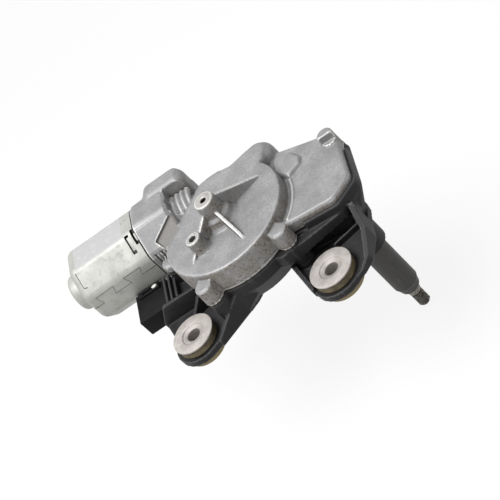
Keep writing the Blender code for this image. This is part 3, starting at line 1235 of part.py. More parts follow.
def wheel_outline(twist):
    """Toothed outline round the wheel's axis, turned by the helix."""
    tip = tooth_half_width(WHEEL_TIP_RADIUS - WHEEL_PITCH_RADIUS) / WHEEL_TIP_RADIUS
    root = tooth_half_width(WHEEL_ROOT_RADIUS - WHEEL_PITCH_RADIUS) / WHEEL_ROOT_RADIUS
    tooth = ((WHEEL_ROOT_RADIUS, -root), (WHEEL_TIP_RADIUS, -tip),
             (WHEEL_TIP_RADIUS, tip), (WHEEL_ROOT_RADIUS, root))
    points = []
    for index in range(WHEEL_TEETH):
        middle = math.pi / 2 + 2 * math.pi * index / WHEEL_TEETH + twist
        points += [polar(from_wheel(0, 0), radius, middle + angle) for radius, angle in tooth]
    return points


def build_wheel():
    """Worm wheel with its crank pin and park disc, on the fixed axle."""
    wheel = from_wheel(0, 0)
    pivot = (*wheel, MOTOR_Z)
    twist = WHEEL_WIDTH / 2 / (WHEEL_TEETH * WORM_PITCH_RADIUS)
    shape = bmesh.new()
    rings = []
    for height, angle in ((WHEEL_BOTTOM_Z, -twist), (WHEEL_TOP_Z, twist)):
        rings.append([shape.verts.new((x, y, height)) for x, y in wheel_outline(angle)])
    join_rings(shape, rings)
    gear = part("worm_wheel", tidy(shape), "natural_nylon", pivot)
    cut(gear, ring(WHEEL_HUB_RADIUS, WHEEL_PITCH_RADIUS - WHEEL_RIM, WHEEL_TOP_Z - WHEEL_RECESS,
                   WHEEL_TOP_Z + REACH, wheel))
    under = WHEEL_BOTTOM_Z - REACH
    cut(gear, drum(AXLE_RADIUS + RUNNING_GAP, under, WHEEL_TOP_Z + REACH, wheel, SMALL_STEPS))
    pin_top = WHEEL_BOTTOM_Z + CRANK_PIN_SEAT
    cut(gear, drum(CRANK_PIN_RADIUS + GAP, under, pin_top + GAP, CRANK_PIN, SMALL_STEPS))
    pin = drum(CRANK_PIN_RADIUS, LINK_TOP_Z + GAP, pin_top, CRANK_PIN, SMALL_STEPS)
    part("crank_pin", pin, "steel", pivot)
    disc_top = WHEEL_BOTTOM_Z - GAP
    disc = ring(PARK_DISC_INNER, PARK_DISC_OUTER, disc_top - PARK_DISC_THICKNESS, disc_top, wheel)
    part("park_disc", disc, "copper", pivot)

    axle_bottom = WHEEL_BOTTOM_Z - AXLE_OVERHANG
    groove = AXLE_RADIUS - AXLE_GROOVE
    groove_low = axle_bottom + CLIP_THICKNESS
    groove_high = groove_low + CLIP_THICKNESS + GAP
    part("wheel_axle", turned([
        (0, axle_bottom), (AXLE_RADIUS, axle_bottom), (AXLE_RADIUS, groove_low), (groove, groove_low),
        (groove, groove_high), (AXLE_RADIUS, groove_high), (AXLE_RADIUS, AXLE_TOP_Z - SHAFT_CHAMFER),
        (AXLE_RADIUS - SHAFT_CHAMFER, AXLE_TOP_Z), (0, AXLE_TOP_Z)], wheel, SMALL_STEPS), "steel")
    clip_low = groove_low + GAP / 2
    clip = ring(groove + GAP, CLIP_RADIUS, clip_low, clip_low + CLIP_THICKNESS, wheel, SMALL_STEPS)
    part("wheel_clip", clip, "steel")


def build_linkage():
    """Connecting link, rocker and its pin."""
    crank_end = polar(ROCKER_PIN, LINK_LENGTH, LINK_ANGLE + math.pi)
    outline = circle(ROCKER_PIN, LINK_HALF_WIDTH, SMALL_STEPS)
    outline += circle(crank_end, LINK_HALF_WIDTH + SINK, SMALL_STEPS)
    bar_shape = loft(outline, LINK_BOTTOM_Z, LINK_TOP_Z)
    link = part("connecting_link", bar_shape, "steel", (*ROCKER_PIN, LINK_TOP_Z))
    low = LINK_BOTTOM_Z - REACH
    for centre, radius in ((ROCKER_PIN, ROCKER_PIN_RADIUS), (crank_end, CRANK_PIN_RADIUS)):
        cut(link, drum(radius + RUNNING_GAP, low, LINK_TOP_Z + REACH, centre, SMALL_STEPS))
    pivot = (0, 0, ROCKER_TOP_Z)
    outline = circle(ROCKER_PIN, LINK_HALF_WIDTH, SMALL_STEPS)
    outline += circle((0, 0), SHAFT_RADIUS + ROCKER_HUB_WALL)
    rocker = part("rocker_lever", loft(outline, ROCKER_BOTTOM_Z, ROCKER_TOP_Z), "steel", pivot)
    for centre, radius in (((0, 0), SHAFT_RADIUS - SHAFT_STEP), (ROCKER_PIN, ROCKER_PIN_RADIUS)):
        cut(rocker, drum(radius + GAP, ROCKER_BOTTOM_Z - REACH, ROCKER_TOP_Z + REACH, centre, SMALL_STEPS))
    head = LINK_TOP_Z + GAP
    head_radius = ROCKER_PIN_RADIUS + PIN_HEAD
    part("rocker_pin", turned([
        (0, ROCKER_BOTTOM_Z), (ROCKER_PIN_RADIUS, ROCKER_BOTTOM_Z), (ROCKER_PIN_RADIUS, head),
        (head_radius, head), (head_radius, head + PIN_HEAD), (0, head + PIN_HEAD)],
        ROCKER_PIN, SMALL_STEPS), "steel", pivot)


def build_spindle():
    """Output shaft in its tube, with bushes and thrust washer."""
    axis = (0, 0)
    thread_top = SHAFT_TIP_Z + THREAD_LENGTH
    step = SHAFT_RADIUS - SHAFT_STEP
    shoulder = ROCKER_BOTTOM_Z - GAP
    part("output_shaft", turned([
        (0, SHAFT_TIP_Z), (THREAD_RADIUS - SHAFT_TIP_CHAMFER, SHAFT_TIP_Z),
        (THREAD_RADIUS, SHAFT_TIP_Z + SHAFT_TIP_CHAMFER), (THREAD_RADIUS, thread_top),
        (SHAFT_RADIUS, thread_top + CONE_LENGTH), (SHAFT_RADIUS, shoulder), (step, shoulder),
        (step, ROCKER_TOP_Z), (0, ROCKER_TOP_Z)], axis), "steel", (0, 0, ROCKER_TOP_Z))
    neck_top = TUBE_BOTTOM_Z + TUBE_NECK_LENGTH
    neck_edge = (TUBE_RADIUS - TUBE_NECK_RADIUS) / 3
    part("shaft_tube", turned([
        (SHAFT_BORE_RADIUS, TUBE_BOTTOM_Z), (TUBE_NECK_RADIUS - neck_edge, TUBE_BOTTOM_Z),
        (TUBE_NECK_RADIUS, TUBE_BOTTOM_Z + neck_edge),
        (TUBE_NECK_RADIUS + neck_edge, TUBE_BOTTOM_Z + TUBE_NECK_LENGTH / 2),
        (TUBE_RADIUS - neck_edge, neck_top - neck_edge), (TUBE_RADIUS, neck_top), (TUBE_RADIUS, TUBE_TOP_Z),
        (TUBE_BORE_RADIUS, TUBE_TOP_Z), (TUBE_BORE_RADIUS, neck_top), (SHAFT_BORE_RADIUS, neck_top)],
        axis), "black_tube")
    bush_radius = TUBE_BORE_RADIUS - GAP
    for name, top in (("upper_shaft_bush", TUBE_TOP_Z - GAP),
                      ("lower_shaft_bush", neck_top + GAP + SHAFT_BUSH_LENGTH)):
        bush = ring(SHAFT_BORE_RADIUS, bush_radius, top - SHAFT_BUSH_LENGTH, top, axis, SMALL_STEPS)
        part(name, bush, "bearing_bronze")
    washer_low = THRUST_WASHER_TOP_Z - THRUST_WASHER_THICKNESS
    washer = ring(SHAFT_BORE_RADIUS, TUBE_RADIUS, washer_low, THRUST_WASHER_TOP_Z, axis, SMALL_STEPS)
    part("thrust_washer", washer, "bearing_bronze")


def build_socket():
    """Plug socket with its latch rail and blades."""
    x, y, z = SOCKET_LOW
    back_y = y + SOCKET_WIDTH
    top = z + SOCKET_HEIGHT
    base = SOCKET_BACK_X - SOCKET_BASE
    socket = part("connector_socket", box(SOCKET_LOW, (SOCKET_BACK_X, back_y, top)), "black_plastic")
    rail_back = back_y - RAIL_SIDE
    add(socket, box((x + RAIL_FRONT, rail_back - RAIL_WIDTH, top - SINK),
                    (SOCKET_BACK_X - RAIL_FRONT, rail_back, top + RAIL_HEIGHT)))
    cut(socket, box((x - REACH, y + SOCKET_WALL, z + SOCKET_WALL),
                    (base, back_y - SOCKET_WALL, top - SOCKET_WALL)))
    slot_back = rail_back - (RAIL_WIDTH - RAIL_SLOT_WIDTH) / 2
    cut(socket, box((x + 2 * RAIL_FRONT, slot_back - RAIL_SLOT_WIDTH, top + SINK / 2),
                    (base, slot_back, top + RAIL_HEIGHT + REACH)))
    pitch = (SOCKET_WIDTH - 2 * SOCKET_WALL) / TERMINAL_COUNT
    middle_z = z + SOCKET_HEIGHT / 2
    half_width = TERMINAL_WIDTH / 2
    half_height = TERMINAL_THICKNESS / 2
    root = base + TERMINAL_ROOT
    for index in range(TERMINAL_COUNT):
        middle = y + SOCKET_WALL + (index + 0.5) * pitch
        cut(socket, box((base - SINK, middle - half_width - GAP, middle_z - half_height - GAP),
                        (root + GAP, middle + half_width + GAP, middle_z + half_height + GAP)))
        blade = box((x + TERMINAL_RECESS, middle - half_width, middle_z - half_height),
                    (root, middle + half_width, middle_z + half_height))
        part(f"connector_terminal_{index + 1}", blade, "copper")


def build_park_switch():
    """Card on the tub's floor with two leaf contacts that reach the park disc."""
    card_low = TUB_FLOOR_Z + GAP
    card_top = card_low + CONTACT_PLATE_THICKNESS
    card = box((*from_wheel(-CONTACT_PLATE_FAR, -CONTACT_PLATE_WIDTH / 2), card_low),
               (*from_wheel(-CONTACT_PLATE_NEAR, CONTACT_PLATE_WIDTH / 2), card_top))
    part("contact_plate", card, "brown_card")
    tip = WHEEL_BOTTOM_Z - PARK_DISC_THICKNESS - 2 * GAP
    foot = card_top + GAP
    start = WHEEL_X - CONTACT_PLATE_FAR + SINK
    bend = start + CONTACT_LEAF
    nose = WHEEL_X - (PARK_DISC_INNER + PARK_DISC_OUTER) / 2
    leaf = [(start, foot), (start + CONTACT_FOOT, foot), (start + CONTACT_FOOT, foot + CONTACT_LEAF),
            (bend, foot + CONTACT_LEAF), (nose, tip - CONTACT_LEAF), (nose + CONTACT_LEAF, tip), (nose, tip),
            (nose - CONTACT_LEAF, tip - CONTACT_LEAF)]
    for index, side in enumerate((-CONTACT_SPACING / 2, CONTACT_SPACING / 2)):
        shape = prism(leaf, -CONTACT_WIDTH / 2, CONTACT_WIDTH / 2)
        bmesh.ops.rotate(shape, matrix=Matrix.Rotation(math.pi / 2, 3, "X"), verts=shape.verts)
        bmesh.ops.translate(shape, vec=(0, WHEEL_Y + side, 0), verts=shape.verts)
        part(f"park_contact_{index + 1}", shape, "copper")


def main():
    """Build the whole motor in an empty scene."""
    for old in list(bpy.data.objects):
        bpy.data.objects.remove(old, do_unlink=True)
    build_gear_housing()
    build_lower_housing()
    build_gasket()
    build_fixings()
    build_can()
    build_armature()
    build_motor_fixed()
    build_wheel()
    build_linkage()
    build_spindle()
    build_socket()
    build_park_switch()


main()
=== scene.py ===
"""Looks of the rear wiper gear motor: rounded castings and mouldings, finishes and a plain stage."""
import json
import math

import bmesh
import bpy
import numpy as np
from bpy.props import FloatProperty, FloatVectorProperty, IntProperty, PointerProperty
from mathutils import Matrix, Vector


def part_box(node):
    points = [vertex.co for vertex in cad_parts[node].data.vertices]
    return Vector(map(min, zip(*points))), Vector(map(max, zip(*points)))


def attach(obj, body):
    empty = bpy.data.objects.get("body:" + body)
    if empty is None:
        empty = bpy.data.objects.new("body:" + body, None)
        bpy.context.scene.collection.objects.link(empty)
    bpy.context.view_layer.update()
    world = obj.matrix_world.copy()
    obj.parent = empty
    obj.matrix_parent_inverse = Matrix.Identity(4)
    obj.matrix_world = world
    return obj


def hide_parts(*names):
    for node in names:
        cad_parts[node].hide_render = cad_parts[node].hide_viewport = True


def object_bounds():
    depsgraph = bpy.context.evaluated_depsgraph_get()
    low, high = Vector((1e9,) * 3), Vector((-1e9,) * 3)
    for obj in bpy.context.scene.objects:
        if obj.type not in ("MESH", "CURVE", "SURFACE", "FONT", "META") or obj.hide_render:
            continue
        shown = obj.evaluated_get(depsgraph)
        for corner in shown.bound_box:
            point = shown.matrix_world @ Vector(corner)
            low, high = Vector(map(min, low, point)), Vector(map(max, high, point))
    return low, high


bl_info = {
    "name": "Rear wiper gear motor looks",
    "version": (1, 0, 0),
    "blender": (4, 5, 0),
    "location": "View3D > Sidebar > Gear motor",
    "description": "Builds the finished pieces of a rear wiper gear motor round its packed frame",
    "category": "Object",
}

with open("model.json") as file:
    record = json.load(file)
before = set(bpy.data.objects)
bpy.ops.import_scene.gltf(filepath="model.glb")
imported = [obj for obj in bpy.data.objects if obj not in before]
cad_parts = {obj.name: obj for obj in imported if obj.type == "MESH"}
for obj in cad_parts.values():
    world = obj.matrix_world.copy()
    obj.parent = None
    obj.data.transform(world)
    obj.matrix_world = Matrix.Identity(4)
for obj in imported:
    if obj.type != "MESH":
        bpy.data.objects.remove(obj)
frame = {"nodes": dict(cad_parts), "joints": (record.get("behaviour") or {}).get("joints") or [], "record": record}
CAD_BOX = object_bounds()

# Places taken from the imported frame, in metres
WHEEL = Vector(frame["joints"][1]["pos_m"])
MOTOR = Vector(frame["joints"][0]["pos_m"])
CAN_LOW, CAN_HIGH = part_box("motor_can")
SOCKET_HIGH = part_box("connector_socket")[1]
TUBE_LOW, TUBE_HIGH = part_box("shaft_tube")
SHAFT_LOW, SHAFT_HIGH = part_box("output_shaft")
HOUSING_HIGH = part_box("gear_housing")[1]
WASHER_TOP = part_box("thrust_washer")[1].z
BOSS_HOLES = (((WHEEL.x, WHEEL.y), HOUSING_HIGH.z), ((WHEEL.x - 0.0165, WHEEL.y - 0.0146), 0.0570))
HUMP = np.array((WHEEL.x + 0.0318, MOTOR.y - 0.0025, 0.0398))

# Can: slots and tongues as (start, stop, low, high) on the upper front flat, lines as plain points
SLOT_TURN = Matrix.Rotation(math.radians(45), 3, "X")
SLOTS = ((-0.0078, -0.0048, -0.0032, 0.0096), (-0.0030, 0.0010, 0.0010, 0.0112))
TONGUES = ((-0.0069, -0.0044, -0.0012, 0.0080), (-0.0017, -0.0003, 0.0030, 0.0080))
SEAM = ((-0.0500, 0.0008), (-0.0425, 0.0009), (-0.0445, 0.0074), (-0.0305, 0.0076), (-0.0328, 0.0019),
        (-0.0202, 0.0021), (-0.0222, 0.0080), (-0.0094, 0.0082), (-0.0117, 0.0025), (-0.0012, 0.0024))
MARK = ((-0.0468, 0.0078), (-0.0468, -0.0030), (-0.0445, -0.0034))
LABEL = (-0.0455, -0.0084, 0.0096)
SEAL_WALL = 0.0008

# Upright round forms: radii at foot and top, lowest and highest place, and how far a facet may be off
SLACK = 0.0003
WHEEL_PLAN = (WHEEL.x, WHEEL.y)
LUG = (0.0062, 0.0056, 0.0300, 0.0421, 0.00032)
SMALL_LUG = (0.0058, 0.0052, 0.0382, 0.0436, SLACK)
DRUM = (0.04204, 0.04164, 0.0262, 0.0454, SLACK)
BOSS = (0.0074, 0.0064, HOUSING_HIGH.z - 0.0105, HOUSING_HIGH.z, SLACK)
EYE = (0.0165, 0.0165, 0.0062, 0.0103, SLACK)
TUB_ROUNDS = ((0.04164, 0.04164, 0.0210, 0.0284, SLACK), (0.03484, 0.04164, 0.0092, 0.0210, SLACK))
NECK_ROUNDS = ((0.0117, 0.0117, -0.0222, -0.0070, SLACK), (0.0117, 0.01287, -0.0070, 0.0010, SLACK),
               (0.01287, 0.0152, 0.0010, 0.0100, 0.0004))

# Casting: hood and hump, grooves in the hood's front as starts along X, the recess beside them, the ring
# sleeve, and the knob at the drum's edge that is cut lower
HOOD_RADIUS, HOOD_CORNER, HOOD_LENGTH = 0.0250, 0.007, 0.0232
HUMP_RADIUS, HUMP_HEIGHT, HUMP_SLACK = 0.0098, 0.0066, 0.0012
HOOD_GROOVES = (0.0034, 0.0056, 0.0078, 0.0100)
HOOD_RECESS = ((0.0085, -0.0206, 0.0147), (0.0144, -0.0199, 0.0155), (0.0243, -0.0142, 0.0211),
               (0.0296, -0.0194, 0.0160), (0.0223, -0.0234, 0.0119), (0.0130, -0.0273, 0.0080))
SLEEVE_START, SLEEVE_PITCH, SLEEVE_RIBS = 0.0250, 0.0037, 4
KNOB, KNOB_RADIUS, KNOB_DEPTH = (-0.0255, 0.0370, 0.0489), 0.0061, 0.012
GROOVE_WIDTH, GROOVE_LOW, GROOVE_HIGH = 0.0013, -0.0085, 0.0098
HUMP_RIM = (38, 50, 62, 72)
HOOD_SMOOTHING, HUMP_SMOOTHING = 50, 40
RECESS_DEPTH = 0.0016

# Tub: web beside the plug socket and its foot, ridges on the neck, wall under the lip, a rib, the cheek
# beside the right eye with its floor, the filled corner at the left arm and the collars round screw heads
SIDE_WEB = ((-0.1283, 0.0070), (-0.1283, 0.0123), (-0.1217, 0.0232), (-0.1195, 0.0243), (-0.1060, 0.0236),
            (-0.0985, 0.0236), (-0.0985, 0.0070))
WEB_FOOT = ((-0.1283, 0.0034), (-0.1243, -0.0117), (-0.1120, -0.0110), (-0.0960, 0.0034))
NECK_RIDGES = (-0.1177, -0.1143, -0.1106)
WALL_TOP = 0.0280
RIGHT_RIB = ((-0.0069, -0.0281), (0.0130, -0.0228))
CHEEK = ((0.0135, -0.0205, 0.0285, 0.0036), (0.0130, -0.0335, 0.0190, 0.0036),
         (0.0075, -0.0490, 0.0126, 0.0034), (0.0022, -0.0550, 0.0108, 0.0022),
         (-0.0050, -0.0588, 0.0103, 0.0012))
CHEEK_LOW, CHEEK_FLOOR_TOP = 0.0066, 0.0098
WEB_SIDES, FOOT_HEIGHTS = (0.0010, 0.0034), (0.0062, 0.0102)
RIB_WIDTH, RIB_HEIGHTS = 0.0013, (0.0095, 0.0152)
COLLAR_INNER, COLLAR_OUTER, COLLAR_FOOT, COLLAR_RISE = 0.0047, 0.0060, 0.0098, 0.0008
CHEEK_FLOOR = ((0.0135, -0.0205), (0.0130, -0.0335), (0.0075, -0.0490), (0.0022, -0.0550),
               (-0.0020, -0.0330))
ARM_FILL = ((-0.0731, -0.0269, 0.0232), (-0.0690, -0.0275, 0.0222), (-0.0735, -0.0285, 0.0085),
            (-0.0640, -0.0228, 0.0085), (-0.0610, -0.0262, 0.0150), (-0.0719, -0.0200, 0.0100),
            (-0.0640, -0.0200, 0.0100))
FRONT_WALL = ((-0.0402, -0.0243, 0.0185, 0.0012), (-0.0345, -0.0272, 0.0185, 0.0075),
              (-0.0158, -0.0258, 0.0205, 0.0070), (0.0095, -0.0226, 0.0222, 0.0035),
              (0.0205, -0.0150, 0.0262, 0.0035))
WALL_DEPTH = 0.0035
STUD_X, STUD_STRETCH = -0.1244, 1.5
RIB_CUT = ((-0.0318, 0.0108), (-0.0196, 0.0108), (-0.0209, 0.0262), (-0.0318, 0.0262))

# Fixings: turned profiles as (radius, height), and the height of a screw's head
SIDES = ("left", "right", "rear")
BUSH = ((0.0044, 0.0), (0.0060, 0.0), (0.0060, 0.0158), (0.0142, 0.0158), (0.0142, 0.0170),
        (0.0078, 0.0170), (0.0073, 0.0161), (0.0052, 0.0160), (0.0044, 0.0155))
GROMMET = ((0.0063, 0.0007), (0.0126, 0.0007), (0.0138, 0.0019), (0.0138, 0.0057), (0.0097, 0.0057),
           (0.0097, 0.0105), (0.0136, 0.0105), (0.0138, 0.0116), (0.0134, 0.0132), (0.0138, 0.0145),
           (0.0128, 0.0155), (0.0063, 0.0155))
SCREW_HEAD = 0.0028

# Spindle's end: thread, knurled cone and shaft
THREAD_LENGTH, THREAD_RADIUS, THREAD_STEPS = 0.012, 0.0040, 32
CONE_LENGTH, SHAFT_RADIUS = 0.005, 0.00475

# Finishes of the inner pieces by slot: colour, roughness, metallic
INNER_LOOKS = {
    "cast_aluminium": ((0.40, 0.40, 0.40), 0.5, 0.7),
    "zinc_plated_steel": ((0.56, 0.56, 0.53), 0.38, 0.8),
    "black_plastic": ((0.02, 0.02, 0.023), 0.5, 0.0),
    "black_tube": ((0.036, 0.035, 0.034), 0.55, 0.1),
    "olive_rubber": ((0.035, 0.030, 0.022), 0.7, 0.0),
    "bush_metal": ((0.60, 0.57, 0.53), 0.5, 0.3),
    "steel": ((0.42, 0.41, 0.39), 0.34, 0.95),
    "bearing_bronze": ((0.45, 0.32, 0.17), 0.48, 0.85),
    "ferrite": ((0.075, 0.075, 0.08), 0.6, 0.1),
    "laminated_iron": ((0.30, 0.30, 0.31), 0.5, 0.85),
    "copper": ((0.70, 0.34, 0.17), 0.38, 0.95),
    "brown_card": ((0.20, 0.10, 0.05), 0.65, 0.0),
    "carbon": ((0.035, 0.035, 0.036), 0.7, 0.0),
    "natural_nylon": ((0.62, 0.60, 0.53), 0.5, 0.0),
}

# Stage: the camera's axes and target, and the lamp
CAMERA_RIGHT = Vector((0.79499, -0.15875, -0.58548))
CAMERA_UP = Vector((0.53603, 0.63572, 0.55546))
CAMERA_TOWARD = Vector((0.28402, -0.75542, 0.59049))
CAMERA_TARGET = Vector((-0.0541, -0.0024, 0.0263))
KEY_PLACE = Vector((-0.32, -0.12, 0.95))
KEY_TARGET = Vector((-0.06, 0.0, 0.02))
KEY_SIZE = 0.8
FLOOR_SIZE, FLOOR_GAP = 6.0, 0.002

BEVEL_ANGLE = math.radians(30)
SMOOTH_ANGLE = math.radians(35)
CAN_SMOOTH_ANGLE = math.radians(28)
TOUCH = 1e-6
LINE_SIDES = 2
CONVEXITY_GAIN, CONVEXITY_ROUNDS, CONVEXITY_SPREAD = 0.00055, 2, 0.8


def centre_of(node):
    """Plan centre of a round node."""
    low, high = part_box(node)
    return ((low.x + high.x) / 2, (low.y + high.y) / 2)


def round_point(centre, turn, radius, z):
    """Point at a radius and a turn round a plan centre."""
    return (centre[0] + radius * math.cos(turn), centre[1] + radius * math.sin(turn), z)


class CastingSettings(bpy.types.PropertyGroup):
    """Sizes and colour of the die-cast housing"""
    voxel: FloatProperty(
        name="Grain of the surface", description="Size of the rounding cells",
        default=0.00049, unit="LENGTH")
    rounds: IntProperty(name="Rounding", description="Smoothing passes over the edges", default=3)
    share: FloatProperty(
        name="Kept faces", description="Share of the faces that is kept", default=0.42, subtype="FACTOR")
    colour: FloatVectorProperty(
        name="Metal", description="Colour of the bare casting",
        default=(0.305, 0.305, 0.31), subtype="COLOR")
    # Colour of worn edges, also the painted highlight along the casting's edges
    worn: FloatVectorProperty(
        name="Worn edge", description="Colour of rubbed edges",
        default=(0.66, 0.655, 0.64), subtype="COLOR")
    # Colour of dirt on the side walls; darkened, also the painted shade in corners and in the hood's recess
    soil_and_shade: FloatVectorProperty(
        name="Soiled side", description="Colour of the dusty side walls",
        default=(0.25, 0.225, 0.195), subtype="COLOR")


class CanSettings(bpy.types.PropertyGroup):
    """Sizes and colours of the motor can"""
    corner: FloatProperty(
        name="Corner radius", description="Radius of the can's long corners", default=0.007, unit="LENGTH")
    end_round: FloatProperty(
        name="End radius", description="Radius at the can's closed end", default=0.005, unit="LENGTH")
    wall: FloatProperty(name="Wall", description="Thickness of the sheet", default=0.0016, unit="LENGTH")
    pot_radius: FloatProperty(
        name="Pot radius", description="Radius of the bearing pot", default=0.012, unit="LENGTH")
    pot_depth: FloatProperty(
        name="Pot depth", description="Depth of the bearing pot", default=0.0092, unit="LENGTH")
    groove: FloatProperty(
        name="Groove", description="Width of the groove at the can's mouth", default=0.0009, unit="LENGTH")
    seal_depth: FloatProperty(
        name="Seal depth", description="Depth of the seal in that groove", default=0.0007, unit="LENGTH")
    label_lift: FloatProperty(
        name="Label lift", description="Height of the label over the sheet", default=0.00006, unit="LENGTH")
    seam_width: FloatProperty(
        name="Seam width", description="Width of the interlocked seam", default=0.00034, unit="LENGTH")
    colour: FloatVectorProperty(
        name="Zinc", description="Colour of the plated sheet",
        default=(0.45, 0.455, 0.425), subtype="COLOR")
    label: FloatVectorProperty(
        name="Label", description="Colour of the bare label",
        default=(0.43, 0.43, 0.43), subtype="COLOR")


class PlasticSettings(bpy.types.PropertyGroup):
    """Sizes and colour of the black mouldings"""
    voxel: FloatProperty(
        name="Grain of the surface", description="Size of the rounding cells",
        default=0.0005, unit="LENGTH")
    rounds: IntProperty(name="Rounding", description="Smoothing passes over the edges", default=2)
    share: FloatProperty(
        name="Kept faces", description="Share of the faces that is kept", default=0.40, subtype="FACTOR")
    colour: FloatVectorProperty(
        name="Plastic", description="Colour of the moulding",
        default=(0.0185, 0.0185, 0.0200), subtype="COLOR")
    # Colour of dust on faces that look up, also the painted light on faces towards +X
    dust: FloatVectorProperty(
        name="Dust", description="Colour of the dust on flat places",
        default=(0.105, 0.104, 0.104), subtype="COLOR")


class FixingSettings(bpy.types.PropertyGroup):
    """Facets and colours of the bushes and grommets"""
    steps: IntProperty(name="Facets", description="Facets round a turned piece", default=96)
    flange: FloatVectorProperty(
        name="Flange", description="Colour of the bush flanges",
        default=(0.44, 0.41, 0.385), subtype="COLOR")
    rubber: FloatVectorProperty(
        name="Rubber", description="Colour of the grommets", default=(0.140, 0.114, 0.068), subtype="COLOR")


class SpindleSettings(bpy.types.PropertyGroup):
    """Sizes of the spindle's end and colour of its tube"""
    pitch: FloatProperty(
        name="Thread pitch", description="Pitch of the thread", default=0.00125, unit="LENGTH")
    depth: FloatProperty(
        name="Thread depth", description="Depth of the thread", default=0.00055, unit="LENGTH")
    knurls: IntProperty(name="Knurls", description="Ridges round the cone", default=40)
    tube: FloatVectorProperty(
        name="Tube", description="Colour of the coated tube",
        default=(0.046, 0.045, 0.044), subtype="COLOR")


class StageSettings(bpy.types.PropertyGroup):
    """Floor, light and camera"""
    floor: FloatVectorProperty(
        name="Floor", description="Colour of the floor", default=(0.93, 0.93, 0.93), subtype="COLOR")
    sky: FloatProperty(name="Sky", description="Strength of the even light", default=0.36)
    key: FloatProperty(name="Key", description="Power of the main lamp", default=12.0, unit="POWER")
    shade: FloatProperty(
        name="Shade", description="Share of the shadow that shows on the floor",
        default=0.13, subtype="FACTOR")
    distance: FloatProperty(
        name="Camera distance", description="Distance of the camera", default=1.2, unit="LENGTH")
    width: FloatProperty(
        name="View width", description="Width of the view at the object", default=0.2941, unit="LENGTH")


class Value:
    """Number socket that takes part in Python expressions."""

    def __init__(self, paint, socket):
        self.paint = paint
        self.socket = socket

    def math(self, operation, first, second=0.0):
        """Math node on two numbers or values."""
        made = self.paint.node("ShaderNodeMath", {"operation": operation}, (first, second))
        return Value(self.paint, made)

    def __add__(self, other):
        return self.math("ADD", self, other)

    __radd__ = __add__

    def __sub__(self, other):
        return self.math("SUBTRACT", self, other)

    def __rsub__(self, other):
        return self.math("SUBTRACT", other, self)

    def __mul__(self, other):
        return self.math("MULTIPLY", self, other)

    __rmul__ = __mul__

    def above(self, low, high):
        """Smooth step from 0 at low to 1 at high."""
        settings = {"interpolation_type": "SMOOTHSTEP"}
        return Value(self.paint, self.paint.node("ShaderNodeMapRange", settings, (self, low, high)))

    def close_to(self, middle, half):
        """1 within a half width of a number, 0 outside it."""
        away = self.math("ABSOLUTE", self - middle)
        return 1.0 - away.above(half * 0.6, half)


class Tree:
    """Node tree of a material or a world."""

    def __init__(self, owner):
        owner.use_nodes = True
        self.tree = owner.node_tree

    def node(self, kind, settings, inputs, output=0):
        """Node with its settings and inputs set; gives one of its outputs."""
        made = self.tree.nodes.new(kind)
        for key, value in settings.items():
            setattr(made, key, value)
        pairs = inputs.items() if isinstance(inputs, dict) else enumerate(inputs)
        for key, value in pairs:
            self.link(value, made.inputs[key])
        return made.outputs[output]

    def link(self, value, socket):
        """Set a socket from a number, a colour, a value or another socket."""
        if isinstance(value, Value):
            self.tree.links.new(value.socket, socket)
        elif isinstance(value, bpy.types.NodeSocket):
            self.tree.links.new(value, socket)
        elif isinstance(value, (int, float)):
            socket.default_value = value
        else:
            value = tuple(value)
            socket.default_value = (*value, 1.0) if socket.type == "RGBA" and len(value) == 3 else value

    def seen(self):
        """1 for what is seen straight, in a reflection or through glass, 0 for light on the object."""
        rays = [Value(self, self.node("ShaderNodeLightPath", {}, (), name))
                for name in ("Is Camera Ray", "Is Glossy Ray", "Is Transmission Ray")]
        total = rays[0] + rays[1] + rays[2]
        return total.math("MINIMUM", total, 1.0)

    def end_with(self, shader):
        """Lead a shader to the tree's output."""
        output = next(node for node in self.tree.nodes if node.type.startswith("OUTPUT"))
        self.tree.links.new(shader, output.inputs["Surface"])


